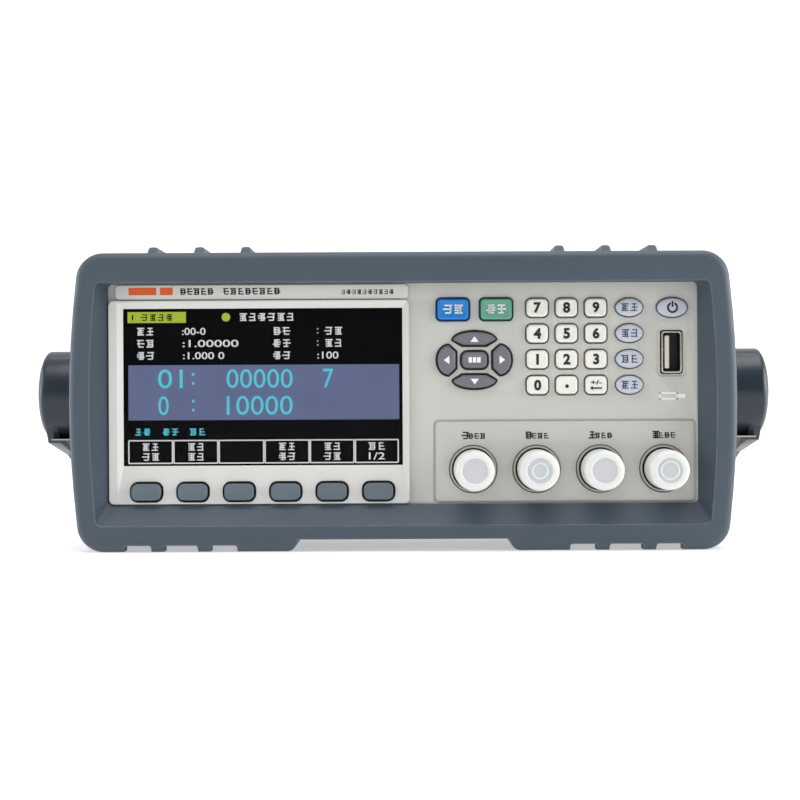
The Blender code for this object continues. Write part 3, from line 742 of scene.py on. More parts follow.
# an unreadable square sign: rows of short bars crossed by an upright or two
def glyph(x, z, size, front, seed, weight):
    rows = 3 + seed % 2
    line = size * weight
    pieces = []
    for row in range(rows):
        wide = size * (0.62 + 0.34 * ((seed * 7 + row * 5) % 4) / 3)
        shift = size * 0.06 * (((seed + row) % 3) - 1)
        pieces.append(bar(x + shift, z + size * (0.42 - 0.84 * row / (rows - 1)), wide, line, front))
    for post in range(1 + seed % 2):
        offset = size * (0.26 * (((seed + post * 2) % 3) - 1) + 0.02)
        pieces.append(bar(x + offset, z, line, size * 0.86, front))
    return pieces


def signs(x, z, size, count, front, seed, pitch, weight=0.15):
    pieces = []
    for number in range(count):
        shift = size * pitch * (number - (count - 1) / 2)
        pieces += glyph(x + shift, z, size, front, seed + number * 3, weight)
    return pieces


def makeScreen():
    left, right, below, above, windowBack = screenArea()
    layer, tallDigit = screen["layer"], screen["reading"]
    front, thick = windowBack + screen["behind"], layer * 0.8
    ink, middleZ = front + layer, above - (above - below) * 0.053

    def across(share):
        return left + (right - left) * share

    def down(share):
        return above - (above - below) * share

    def area(name, x0, y0, x1, y1, look):
        depth = front + 2 * layer
        low, high = (across(x0), depth, down(y1)), (across(x1), depth + thick, down(y0))
        piece = roundedBlock(name, low, high, 0.05, 1)
        done(piece, look, "case", "black_plastic")

    def words(text, share, z, width, height=screen["digit"], bold=0.01):
        return flatWords(text, share, z, height, ink, width, bold, thick)

    def row(share, z, seed, size=screen["sign"], count=2, pitch=1.22):
        return signs(across(share), z, size, count, ink, seed, pitch)

    def line(x, z, wide, tall):
        return bar(x, z, wide, tall, ink, thick)

    back = roundedBlock("screenBack", (left - 0.7, front + 3 * layer, below - 0.7),
                        (right + 0.7, front + 0.8, above + 0.7), 0.3)
    done(back, "screenBlack", "case", "black_plastic")
    area("screenBand", 0.014, 0.358, 0.988, 0.71, "screenBand")
    area("screenTitle", 0.012, 0.018, 0.222, 0.088, "screenYellow")
    dark = [line(across(0.03), middleZ, 0.5, 1.9)] + row(0.117, middleZ, 2, 2.3, 4, 1.25)
    lamp = addRound("lamp", (across(0.366), front + 1.5 * layer, middleZ), backward, 1.5, thick, 24)
    done(lamp, "screenYellow", "case", "black_plastic")

    white, cyan = row(0.512, middleZ, 5, count=6), []
    for number, (text, share, width) in enumerate(screen["rows"]):
        z = down(0.143 + 0.0775 * number)
        white += row(0.076, z, number * 5 + 1)
        white.append(words(text, across(share), z, width))
        white += row(0.566, z, number * 4 + 3)
        if number < 2:
            white += [line(across(0.696), z + rise, 0.4, 0.4) for rise in (-0.7, 0.7)]
            white += row(0.752, z, number * 3 + 2)
    white.append(words(":100", across(0.732), down(0.298), 7.4))
    for share, text, place, width, digits in screen["readings"]:
        z = down(share)
        cyan += [words(text, across(place), z, width, tallDigit, 0.0),
                 words(":", across(0.247), z, 0.9, 4.2, 0.0),
                 words(digits, across(0.486), z, 23.0, tallDigit, 0.0)]
    cyan.append(words("7", across(0.733), down(0.446), 3.6, tallDigit, 0.0))
    for share, seed in ((0.065, 4), (0.165, 7), (0.262, 9)):
        cyan += row(share, down(0.785), seed, 2.4, 2, 1.25)
    columns, wide = screen["columns"], screen["line"]
    top, foot = down(screen["boxTop"]), down(screen["boxFoot"])
    for number in range(6):
        x0, x1 = across(columns[number]) + 0.25, across(columns[number + 1]) - 0.25
        white += [line((x0 + x1) / 2, z, x1 - x0, wide) for z in (top, foot)]
        white += [line(x, (top + foot) / 2, wide, top - foot) for x in (x0, x1)]
        middle = (x0 + x1) / 2
        if number != 2:
            white += signs(middle, down(0.881), 2.6, 2, ink, number * 4 + 1, 1.22)
        if number == 5:
            white.append(words("1/2", middle, down(0.944), 5.6))
        elif number != 2:
            white += signs(middle, down(0.944), 2.6, 2, ink, number * 3 + 2, 1.22)
    for name, pieces in (("screenWhite", white), ("screenCyan", cyan), ("screenDark", dark)):
        done(joinPieces(name, pieces), name, "case", "black_plastic")
    paint(nodes["screen_window"], "glass")
    print("display made")


makeBezel()
makeScreen()


# keys

keys = {"shrink": {"soft": -0.35, "pad": -0.3, "measure": -0.2, "setup": -0.2}, "usualShrink": -0.12,
        "skirt": 1.0, "skirtShare": 0.9}


# a key's visible cap; the rim is two insets and how far the middle of the face is sunk
def makeKey(node, look, slot, edge, rim=None):
    _, high = boxOf(node)
    front = keySpot(node)[4]
    shoulder = high.y - keys["skirt"]
    shrink = keys["shrink"].get(node.split("_")[0], keys["usualShrink"])
    piece = keyBlock("cap_" + node, node, shrink, front, shoulder)
    softenFace(piece, 1, front, edge, 1 if node in padNames else 4)
    if rim:
        pickFlat(piece, 1, front)
        for inset, push in ((rim[0], 0.0), (rim[1], rim[2])):
            bpy.ops.mesh.inset(thickness=inset * mm)
            bpy.ops.transform.translate(value=(0, push * mm, 0))
        leaveEdit()
    shape(piece, keyBlock("skirt", node, panel["flange"] * keys["skirtShare"], shoulder, high.y), "UNION")
    done(piece, look, node, slot, node, angle=40)


# a small triangle pointing up, turned left by quarter turns
def arrowHead(x, z, size, front, turns):
    clearSelection()
    bpy.ops.mesh.primitive_circle_add(vertices=3, radius=size * mm, fill_type="NGON", location=(0, 0, 0))
    piece = bpy.context.object
    turn = Matrix.Rotation(math.radians(90 * turns), 4, "Z")
    piece.data.transform(turn @ Matrix.Diagonal((1.1, 0.85, 1, 1)))
    spots = [spot.co for spot in piece.data.vertices]
    height = (max(c.y for c in spots) - min(c.y for c in spots)) / mm
    return fitPrint(piece, x, z, height, front)


def powerMark(x, z, front):
    face, flatten = (front - 0.02) * mm, 0.25
    clearSelection()
    bpy.ops.mesh.primitive_torus_add(major_radius=1.6 * mm, minor_radius=0.34 * mm, major_segments=40,
                                     minor_segments=10, location=(x * mm, face, (z - 0.1) * mm),
                                     rotation=(math.radians(90), 0, 0))
    ring = applyPlace(bpy.context.object)
    for spot in ring.data.vertices:
        spot.co.y = face + (spot.co.y - face) * flatten
    shape(ring, addBlock("gap", (x - 0.62, front - 1, z + 0.3), (x + 0.62, front + 1, z + 3)))
    return [ring, bar(x, z + 1.15, 0.62, 2.0, front - 0.04)]


def numberMark(face, x, z, front):
    if face == "point":
        return [addRound("mark", (x, front - 0.01, z - 0.4), backward, 0.62, 0.05, 20)]
    if face == "sign":
        return [flatWords("+/-", x, z + 0.85, 1.5, front - lift, 3.9, 0.02),
                bar(x + 0.3, z - 1.1, 3.2, 0.5, front - lift),
                arrowHead(x - 1.7, z - 1.1, 0.75, front - lift, 1)]
    return [flatWords(face, x, z, 3.75, front + 0.06, None, 0.045)]


def makeKeys():
    def printOn(node, slot, ink, makeMark):
        x, z, _, _, front = keySpot(node)
        done(joinPieces("print_" + node, makeMark(x, z, front)), ink, node, slot)

    for node in softNames:
        makeKey(node, "softKey", "soft_key", 0.4, (0.35, 0.4, 0.22))
    for node, face in zip(numberNames, faceNames):
        makeKey(node, "numberKey", "number_key", 0.7, (0.25, 0.3, 0.12))
        printOn(node, "number_key", "inkBlack", lambda x, z, front: numberMark(face, x, z, front))
    for number, node in enumerate(optionNames):
        makeKey(node, "optionKey", "option_key", 0.9)
        printOn(node, "option_key", "inkBlue",
                lambda x, z, front: signs(x, z, 2.75, 2, front - lift, number * 4 + 1, 1.15))
    for number, (node, look, slot) in enumerate((("measure_key", "blueKey", "blue_key"),
                                                 ("setup_key", "greenKey", "green_key"))):
        makeKey(node, look, slot, 0.5, (0.3, 0.35, 0.15))
        printOn(node, slot, "inkWhite",
                lambda x, z, front: signs(x, z, 3.1, 2, front - lift, number * 5 + 2, 1.15))
    for turns, node in enumerate(padNames):
        makeKey(node, "padKey", "pad_key", 0.62)
        printOn(node, "pad_key", "inkWhite", lambda x, z, front:
                [arrowHead(x, z - (0 if turns else 0.3), 1.5, front - lift, turns)])
    makeKey("pad_centre", "padKey", "pad_key", 0.6, (0.5, 0.3, 0.15))
    printOn("pad_centre", "pad_key", "inkWhite", lambda x, z, front:
            [bar(x + shift, z, 1.2, 1.9, front + 0.05, 0.12) for shift in (-1.5, 0, 1.5)])
    makeKey("power_button", "optionKey", "option_key", 0.9)
    printOn("power_button", "option_key", "inkBlack", powerMark)
    print("keys made")


makeKeys()


# front details: the port is narrow across and tall, and its tongue stands left of its middle

# the lining depths and the wall offsets place black sheets that are painted shade inside the port
port = {"cavity": (2.95, 6.7, 14), "wall": (2.9, 6.6), "shadeBackDepths": (5.0, 6.0), "markBelow": 15.3}


def makeStripPrint():
    low, high = boxOf("name_strip")
    front, z = low.y - lift, (low.z + high.z) / 2 + 0.35
    mark = [bar(low.x + 9.4, z, 9.6, 2.6, front), bar(low.x + 17.7, z, 4.4, 2.6, front)]
    done(joinPieces("stripMark", mark), "inkOrange", "case", "panel_plastic")
    words = signs(low.x + 28.2, z - 0.1, 2.2, 5, front, 3, 1.08, 0.19)
    words += signs(low.x + 47.2, z - 0.1, 2.2, 8, front, 6, 1.14, 0.19)
    words += signs(high.x - 14.2, z - 0.5, 1.6, 10, front, 8, 1.16, 0.17)
    done(joinPieces("stripWords", words), "inkBlack", "case", "panel_plastic")


def makePort():
    low, high = boxOf("usb_port")
    (x, z), front = middleOf(low, high), low.y
    (wide, tall, deep), (wallX, wallZ), shadeBackDepths = port["cavity"], port["wall"], port["shadeBackDepths"]
    shell = roundedBlock("portShell", low, high, 1.0)
    shape(shell, plate("portCavity", x, z, wide, tall, front - 1, front + deep, 0.7))
    softenAll(shell, 0.18)
    done(shell, "nickel", "case", "nickel", "usb_port", angle=40)
    tongue = roundedBlock("portTongue", (x - 2.35, front + 0.6, z - 5.7),
                          (x - 0.75, front + deep, z + 5.7), 0.25, 2)
    softenFace(tongue, 1, front + 0.6, 0.25, 2)
    done(tongue, "tongue", "case", "black_plastic")
    # painted shade: a black back wall and thin black sheets inside the metal shell make the port's depth look
    # dark
    back = plate("portShadeBack", x, z, wallX, 6.65, front + shadeBackDepths[0], front + shadeBackDepths[1])
    done(back, "black", "case", "black_plastic")
    sides = [plate("side", x + side * wallX, z, 0.08, 6.4, front + 0.7, front + 5.2) for side in (-1, 1)]
    sides += [plate("side", x, z + side * wallZ, 2.7, 0.08, front + 0.7, front + 5.2) for side in (-1, 1)]
    done(joinPieces("portShadeSides", sides), "black", "case", "black_plastic")
    contacts = [addSpan("contact", (x - 0.78, x - 0.68), (front + 1.5, front + 9),
                        (z + up - 0.45, z + up + 0.45))
                for up in (-3.5, -1.1, 1.1, 3.5)]
    done(joinPieces("portContacts", contacts), "gold", "case", "nickel")
    y, z = boxOf("front_panel")[0].y - lift, z - port["markBelow"]
    stick = [bar(x + right, z + up, wide, tall, y) for right, up, wide, tall in
             ((-1.2, 1.0, 6.4, 0.55), (-1.2, -1.0, 6.4, 0.55), (-4.2, 0, 0.55, 2.5), (1.8, 0, 0.55, 2.5),
              (3.3, 0, 2.6, 1.4))]
    done(joinPieces("portMark", stick), "inkWhite", "case", "panel_plastic")


# each turned profile is (radius, height in front of the panel)
jack = {
    "ring": [(5.8, -1.9), (7.35, -1.9), (7.35, 0.6), (7.55, 0.85), (7.85, 0.85), (8.05, 0.6), (8.05, -1.0),
             (8.5, -3.1), (8.5, -3.6), (5.8, -3.6), (5.8, -1.9)],
    # well: a thin black disc on the groove floor round the barrel, painted shade for the deep groove
    "well": [(5.4, -1.85), (7.3, -1.85), (7.3, -1.7), (5.4, -1.7), (5.4, -1.85)],
    "barrel": [(0.0, -10.9), (0.0, 4.6), (4.05, 4.6), (4.05, 12.9), (4.25, 13.4), (4.6, 13.4), (4.8, 13.1),
               (4.8, 3.2), (5.3, 2.9), (5.3, -1.0), (5.9, -1.2), (5.9, -10.9), (0.0, -10.9)],
    "insulator": [(1.15, 4.7), (1.15, 11.5), (2.35, 11.5), (2.35, 4.7), (1.15, 4.7)],
    "pin": [(0.0, 4.5), (0.7, 4.5), (0.7, 11.6), (0.45, 12.1), (0.0, 12.1)],
    "capTop": 16.0, "discSunk": 0.42, "labelAbove": 11.55,
}


def makeJacks():
    top = jack["capTop"]
    depth = top - jack["discSunk"]
    crown = [(0.0, top - 0.5), (4.2, top - 0.5), (4.35, top - 0.28), (4.6, top - 0.06), (4.9, top),
             (5.75, top - 0.12), (6.35, top - 0.5), (6.7, top - 1.1), (6.8, top - 1.9), (6.88, 1.9),
             (6.7, 1.6), (5.9, 1.6), (5.7, 1.9), (5.65, top - 2.1), (5.4, top - 2.3), (0.0, top - 2.3)]
    disc = [(0.0, depth), (4.2, depth), (4.28, depth - 0.06), (0.0, depth - 0.06)]
    for number in range(1, 5):
        x, z = middleOf(*boxOf(f"bnc_jack_{number}"))
        y = boxOf("front_panel")[0].y

        def turned(name, profile, sides=64):
            return turnedPiece(f"{name}_{number}", profile, (x, y, z), forward, sides)

        done(turned("jackRing", jack["ring"]), "ring", "case", "panel_plastic", angle=35)
        # painted shade: a black disc laid on the floor of the groove between the barrel and the ring
        done(turned("jackGrooveShade", jack["well"]), "black", "case", "black_plastic")
        barrel = turned("jackBarrel", jack["barrel"])
        for side in (-1, 1):
            shape(barrel, addRound("lug", (x + side * 5.0, y - 9.6, z), (1, 0, 0), 0.95, 1.1, 20), "UNION")
        done(barrel, "nickel", "case", "nickel", f"bnc_jack_{number}", angle=30)
        done(turned("jackInsulator", jack["insulator"], 32), "cap", "case", "nickel", angle=35)
        done(turned("jackPin", jack["pin"], 24), "gold", "case", "nickel", angle=35)
        body = f"bnc_cap_{number}"
        done(turned("capBody", crown, 72), "cap", body, "dust_cap", body, angle=28)
        done(turned("capDisc", disc, 48), "capDisc", body, "dust_cap")
        if number % 2 == 0:
            middle = 2.6 if number == 2 else 3.0
            hoop = [(middle, depth + 0.3), (middle + 0.2, depth + 0.2), (middle + 0.3, depth),
                    (middle - 0.3, depth), (middle - 0.2, depth + 0.2), (middle, depth + 0.3)]
            done(turned("capHoop", hoop, 48), "cap", body, "dust_cap", angle=50)
        z += jack["labelAbove"]
        label = glyph(x - 2.7, z + 0.15, 2.5, y - lift, number + 1, 0.2)
        label += signs(x + 1.25, z - 0.05, 1.9, 3, y - lift, number * 3, 1.1, 0.19)
        done(joinPieces(f"jackLabel_{number}", label), "inkBlack", "case", "panel_plastic")
    print("sockets and caps made")


makeStripPrint()
makePort()
makeJacks()


# case

case = {"sheet": 1.2, "round": 4.0, "ventColumns": 12, "ventFrom": 10, "ventPitch": 7.5,
        "ventRows": (38.0, 60.0), "vent": (1.6, 8.5), "screws": (-110, 0, 110), "screwHeight": 24,
        "floorSlot": (2, 14),
        "posts": ((-85, -120), (85, -120), (-85, 45), (85, 45))}


def screwHead(name, spot, axis, radius, height):
    profile = [(0.0, 0.1), (radius, 0.1), (radius, 0.3), (radius * 0.86, height * 0.72),
               (radius * 0.55, height * 0.95), (0.0, height)]
    head = turnedPiece(name, profile, spot, axis, 40)
    for turn in (0, 90):
        bit = addBlock("bit", (-radius * 0.5, -radius * 0.11, height * 0.45),
                       (radius * 0.5, radius * 0.11, height + 1))
        bit.data.transform(Matrix.Rotation(math.radians(turn), 4, "Z"))
        bit.data.transform(standAt(spot, axis))
        shape(head, bit)
    done(head, "nickel", "case", "nickel", angle=32)


# a slot with round ends that runs through a wall along one axis
def roundedSlot(low, high, axis):
    slot = addBlock("slot", low, high)
    narrow = 0 if axis else 1
    roundAlong(slot, axis, (high[narrow] - low[narrow]) / 2 - 0.02, 5)
    return slot


def makeCover():
    low, high = boxOf("case_cover")
    sheet = case["sheet"]
    cover = roundedBlock("coverSheet", (low.x, low.y, low.z - 8), high, case["round"])
    shape(cover, roundedBlock("inside", (low.x + sheet, low.y - through, low.z - 14),
                              (high.x - sheet, high.y + through, high.z - sheet), 2.8))
    shape(cover, addBlock("trim", (low.x - 5, low.y - 5, low.z - 20), (high.x + 5, high.y + 5, low.z)))
    wide, tall = case["vent"]
    walls = ((-1, low.x), (1, high.x))
    slots = []
    for _, edge in walls:
        for column in range(case["ventColumns"]):
            y = case["ventFrom"] + column * case["ventPitch"]
            slots += [roundedSlot((edge - 4, y - wide, z - tall), (edge + 4, y + wide, z + tall), 0)
                      for z in case["ventRows"]]
    shape(cover, joinPieces("slots", slots))
    softenAll(cover, 0.15)
    done(cover, "sheet", "case", "painted_sheet", "case_cover", angle=28)
    for side, edge in walls:
        for number, y in enumerate(case["screws"]):
            spot = (edge, y, case["screwHeight"])
            screwHead(f"coverScrew_{side + 1}_{number}", spot, (side, 0, 0), 3.0, 1.4)


def makeBase():
    low, high = boxOf("case_base")
    sheet, (wide, long) = case["sheet"], case["floorSlot"]
    tray = joinPieces("baseTray", [
        roundedBlock("floor", low, (high.x, high.y, low.z + sheet), 0.3, 2),
        addBlock("wallLeft", (low.x, low.y, low.z + sheet), (low.x + sheet, high.y, high.z)),
        addBlock("wallRight", (high.x - sheet, low.y, low.z + sheet), high)])
    holes = [roundedSlot((x - wide, y - long, low.z - 3), (x + wide, y + long, low.z + 3), 2)
             for x in range(-60, 61, 12) for y in (-60, 70)]
    shape(tray, joinPieces("holes", holes))
    for x, y in case["posts"]:
        shape(tray, addRound("post", (x, y, low.z + 6.8), (0, 0, 1), 3.5, 11.4, 24), "UNION")
    done(tray, "sheet", "case", "painted_sheet", "case_base", angle=28)
    print("case made")


makeCover()
makeBase()


# rear

rear = {"round": 4.0, "fanPitch": 7.0, "fanField": 26.5, "spine": 2.5, "slot": 3.8, "fanScrew": 25,
        "inletHole": (13.8, 10.3), "inletShell": (13.5, 10), "inletWell": (12.2, 8.4), "inletScrew": 20,
        "pins": ((-7, -2), (0, 2), (7, -2)), "post": (44, -8), "blanks": (-70, -22), "blankHalf": 17.0,
        "blankScrews": (-82, -58, -34, -10),
        "postProfile": [(0.0, -2.0), (2.5, -2.0), (2.5, 0.3), (4.6, 0.3), (4.6, 2.4), (2.4, 2.4), (2.4, 8.6),
                        (2.0, 9.2), (0.0, 9.2)]}


def makeRearSheet(low, high, inlet, fan):
    piece = roundedBlock("rearSheet", low, high, rear["round"])
    wide, tall = rear["inletHole"]
    tools = [plate("inletHole", *inlet, wide, tall, low.y - 3, high.y + 3, 2.0)]
    half = rear["slot"] / 2
    for row in range(-3, 4):
        reach = math.sqrt(rear["fanField"] ** 2 - (rear["fanPitch"] * row) ** 2)
        z = fan[1] + rear["fanPitch"] * row
        for side in (-1, 1):
            slot = addSpan("fanSlot", (fan[0] + side * rear["spine"], fan[0] + side * reach),
                           (low.y - 3, high.y + 3), (z - half, z + half))
            roundAlong(slot, 1, 1.85)
            tools.append(slot)
    shape(piece, joinPieces("holes", tools))
    softenAll(piece, 0.12)
    done(piece, "sheet", "case", "painted_sheet", "rear_panel", angle=28)


def makeInlet(wallY, x, z):
    low, high = boxOf("power_inlet")
    body = roundedBlock("inletBody", (low.x, wallY + 0.3, low.z), high, 4.0)
    softenFace(body, 1, high.y, 0.7, 3)
    wide, tall = rear["inletShell"]
    shape(body, plate("shell", x, z, wide, tall, low.y, wallY + 1.0, 1.8), "UNION")
    wide, tall = rear["inletWell"]
    well = plate("well", x, z, wide, tall, low.y + 2.5, high.y + 2)
    pickEdges(well, lambda first, second: abs(first.y - second.y) > 5 and first.z > z)
    bevelPicked(4.4, 1)
    shape(body, well)
    done(body, "black", "case", "black_plastic", "power_inlet", angle=30)
    pins = [plate("pin", x + right, z + up, 1.0, 2.0, low.y + 1.5, high.y - 4, 0.3, 2)
            for right, up in rear["pins"]]
    done(joinPieces("inletPins", pins), "nickel", "case", "nickel")


def makeRear():
    low, high = boxOf("rear_panel")
    inletBox = boxOf("power_inlet")
    inletX, inletZ = inlet = middleOf(*inletBox)
    fanX, fanZ = fan = middleOf(*boxOf("fan_frame"))
    makeRearSheet(low, high, inlet, fan)
    away = rear["fanScrew"]
    spots = [(fanX + x, high.y, fanZ + z) for x in (-away, away) for z in (-away, away)]
    spots += [(inletX + side * rear["inletScrew"], inletBox[1].y, inletZ) for side in (-1, 1)]
    spots += [(x, high.y, z) for x in (-98, 98) for z in (22, 87)]
    for number, spot in enumerate(spots):
        screwHead(f"rearScrew_{number}", spot, backward, 2.7, 1.3)
    makeInlet(high.y, inletX, inletZ)

    x, z = inletX + rear["post"][0], inletZ + rear["post"][1]
    post = turnedPiece("earthPost", rear["postProfile"], (x, high.y, z), backward, 48)
    done(post, "nickel", "case", "nickel", angle=35)
    nut = addRound("earthNut", (x, high.y + 4.1, z), backward, 4.7, 3.0, 6)
    softenAll(nut, 0.3)
    done(nut, "nickel", "case", "nickel", angle=40)
    half = rear["blankHalf"]
    blank = joinPieces("rearBlanks", [
        plate("blank", x, 77.0, half, 7.0, high.y - 0.2, high.y + 0.6, 2.0) for x in rear["blanks"]])
    softenAll(blank, 0.15)
    done(blank, "ring", "case", "painted_sheet", angle=40)
    for number, x in enumerate(rear["blankScrews"]):
        screwHead(f"blankScrew_{number}", (x, high.y + 0.6, 77), backward, 1.9, 0.9)
    print("rear made")


fan = {"round": 4.5, "bore": 28.3, "flange": 4.5, "waist": 31.5, "hub": 13.0, "strutDepth": 1.9, "blades": 7,
       "bladeFrom": 11.2, "bladeTo": 26.6, "bladeDepth": 11.5, "pitch": 48, "untwist": 18,
       "drum": [(0.0, 14.0), (11.6, 14.0), (12.4, 13.2), (12.4, 0.0), (0.0, 0.0)]}


def fanBlade(x, y, z, angle):
    start, end = fan["bladeFrom"], fan["bladeTo"]
    blade = addBlock("blade", (start, -6.0, -0.45), (end, 6.0, 0.45))
    openEdit(blade)
    bpy.ops.mesh.subdivide(number_cuts=5)
    leaveEdit()
    for spot in blade.data.vertices:       # twisted, swept and tapered toward the hub
        reach = (spot.co.x / mm - start) / 15.4
        twist = math.radians(fan["pitch"] - fan["untwist"] * reach)
        y0, up = spot.co.y * (0.82 + 0.18 * reach), spot.co.z + 1.2 * mm * reach * (1 - reach)
        spot.co.y = y0 * math.cos(twist) - up * math.sin(twist)
        spot.co.z = y0 * math.sin(twist) + up * math.cos(twist)
    blade.data.transform(Matrix.Translation(Vector((x, y, z)) * mm) @ Matrix.Rotation(angle, 4, "Y"))
    return blade


def makeFan():
    low, high = boxOf("fan_frame")
    (x, z), y = middleOf(low, high), (low.y + high.y) / 2
    flange, hubY = fan["flange"], low.y + fan["strutDepth"]
    body = roundedBlock("fanBody", low, high, fan["round"])
    shape(body, addRound("bore", (x, y, z), backward, fan["bore"], 60, 96))
    waist = roundedBlock("waist", (low.x - 5, low.y + flange, low.z - 5),
                         (high.x + 5, high.y - flange, high.z + 5), 2)
    shape(waist, addRound("core", (x, y, z), backward, fan["waist"], 30, 96))
    shape(body, waist)
    disc = addRound("disc", (x, hubY, z), backward, fan["hub"], 3.0, 48)
    struts = []
    for number in range(3):
        strut = addBlock("strut", (10, -1.4, -1.5), (30, 1.4, 1.5))
        turn = Matrix.Rotation(math.radians(90 + 120 * number), 4, "Y")
        strut.data.transform(Matrix.Translation(Vector((x, hubY, z)) * mm) @ turn)
        struts.append(strut)
    for part in struts + [disc]:
        shape(body, part, "UNION")
    done(body, "black", "case", "black_plastic", "fan_frame", angle=30)
    rotor = turnedPiece("fanHub", fan["drum"], (x, low.y + 4.5, z), backward, 64)
    done(rotor, "black", "fan_rotor", "black_plastic", "fan_rotor", angle=30)
    blades = [fanBlade(x, low.y + fan["bladeDepth"], z, 2 * math.pi * number / fan["blades"])
              for number in range(fan["blades"])]
    done(joinPieces("fanBlades", blades), "black", "fan_rotor", "black_plastic", angle=40)
    print("fan made")


makeRear()
makeFan()


# handle

arm = {"inner": 137.0, "outer": 141.5, "pivot": (-67.5, 54.0), "hub": 17.5, "rim": 142.2, "dome": 146.6,
       "back": 130.3, "end": 4.2, "web": [(-79, 41), (-74, 34.6), (-46, 29.0), (-52, 41)], "bossAt": 107.5,
       "boss": [(0.0, 28.6), (5.4, 28.6), (6.0, 28.0), (6.0, 22.5), (15.3, 22.5), (16.5, 21.3), (16.5, 3.0),
                (17.6, 1.8), (17.6, 0.3), (0.0, 0.3)]}


# side view of an arm: round the hub, down its lower edge, round the grip and back up
def armOutline():
    pivotY, pivotZ = arm["pivot"]
    low, high = boxOf("handle_grip")
    end, endY = arm["end"], high.y - 4.4

    def arc(y, z, radius, degrees):
        angles = [math.radians(degree) for degree in degrees]
        return [(y + radius * math.cos(a), z + radius * math.sin(a)) for a in angles]

    outline = arc(pivotY, pivotZ, arm["hub"] - 0.4, [68 + 184.8 * step / 40 for step in range(41)])
    outline += [(-29.5, 24.0), (20.0, 11.6), (low.y, low.z), (endY, low.z)]
    outline += arc(endY, low.z + end, end, range(-75, 1, 15))
    return outline + [(high.y - 0.2, high.z - 2.6), (high.y - 1.2, high.z - 0.6), (high.y - 2.6, high.z)]


# swings a block drawn from the front round to the side view; place gives its distance out from the middle
def turnToSide(piece, side, place):
    for spot in piece.data.vertices:
        across, up, deep = spot.co.x, spot.co.z, spot.co.y
        spot.co = Vector((side * place(deep, across), across, up))


def makeArm(side):
    name = "right" if side > 0 else "left"
    inner, outer, (pivotY, pivotZ) = arm["inner"], arm["outer"], arm["pivot"]
    flat = outlineBlock("armPlate_" + name, armOutline(), 0, outer - inner)
    turnToSide(flat, side, lambda deep, across: outer * mm - deep)
    openEdit(flat)
    turnOutward()
    for value in (inner, outer):
        softenFace(flat, 0, side * value, 1.2, 4)
    hub, rim, dome, back = arm["hub"], arm["rim"], arm["dome"], arm["back"]
    profile = [(0.0, dome)]
    for step in range(1, 17):
        angle = math.radians(90 * step / 16)
        profile.append((hub * math.sin(angle) ** 0.8, rim + (dome - rim) * math.cos(angle)))
    profile += [(hub, back + 0.5), (hub - 0.5, back), (6.4, back), (6.4, back + 6.4), (0.0, back + 6.4)]
    drum = turnedPiece("armHub_" + name, profile, (0, pivotY, pivotZ), (side, 0, 0), 96)
    done(drum, "hub", "handle", "hub_plastic", angle=30)
    done(flat, "hub", "handle", "hub_plastic", "handle_arm_" + name, angle=30)
    web = outlineBlock("armWeb_" + name, arm["web"], 0, 6)
    turnToSide(web, side, lambda deep, across:      # a wedge that tapers to the rear
               (138 if deep > 1 * mm else 143.0 if across < -70 * mm else 141.5) * mm)
    softenAll(web, 0.4, angle=30)
    done(web, "hub", "handle", "hub_plastic", angle=30)
    # painted highlight: a thin pale strip under the hub where its lower edge catches light
    edge = addSpan("armHighlightStrip_" + name, (side * 131, side * 140.6), (-79, -60), (35.8, 36.3))
    done(edge, "ring", "handle", "hub_plastic")

    start = arm["bossAt"]
    foot = turnedPiece("boss_" + name, arm["boss"], (side * start, pivotY, pivotZ), (side, 0, 0), 72)
    for turn in range(0, 360, 30):
        angle = math.radians(turn)
        spot = (side * (start + 12), pivotY + 17.0 * math.cos(angle), pivotZ + 17.0 * math.sin(angle))
        shape(foot, addRound("flute", spot, (1, 0, 0), 1.6, 16, 16))
    done(foot, "hub", "case", "hub_plastic", "pivot_boss_" + name, angle=30)


grip = {"round": 3.2, "pitch": 6.0, "half": 0.7, "inset": 4.5, "depth": 0.6}


def makeGrip():
    low, high = boxOf("handle_grip")
    piece = addBlock("gripBar", low, high)
    roundAlong(piece, 0, grip["round"], 6)
    for end in (low.x, high.x):
        softenFace(piece, 0, end, 0.3, 2)
    half, inset = grip["half"], grip["inset"]
    grooves = [addBlock("groove", (step * grip["pitch"] - half, low.y + inset, low.z - 1),
                        (step * grip["pitch"] + half, high.y - inset, low.z + grip["depth"]))
               for step in range(-14, 15)]
    shape(piece, joinPieces("grooves", grooves))
    done(piece, "hub", "handle", "hub_plastic", "handle_grip", angle=30)


for side in (-1, 1):
    makeArm(side)
makeGrip()
print("handle made")


# inside: chips are x, y, width, depth and height; cans are x, y, radius and height

inside = {
    "chips": ((-40, -70, 28, 28, 2.6), (12, -60, 22, 22, 2.2), (52, -80, 16, 24, 3), (50, -30, 14, 10, 2.4),
              (-10, -20, 18, 12, 2.4), (-70, -20, 12, 18, 2.6), (10, -108, 20, 8, 2.4),
              (-52, -112, 24, 8, 3)),
    "cans": ((-80, 25, 8, 22), (-60, 25, 8, 22), (-40, 28, 6, 16), (-24, 30, 5, 14), (82, 25, 6.5, 18),
             (70, 5, 5, 14), (82, -5, 5, 14)),
    "relays": 9, "relayFrom": -88, "relayPitch": 12, "coreHalf": 22, "windingHalf": 19,
    "windingHeight": (18, 48),
}


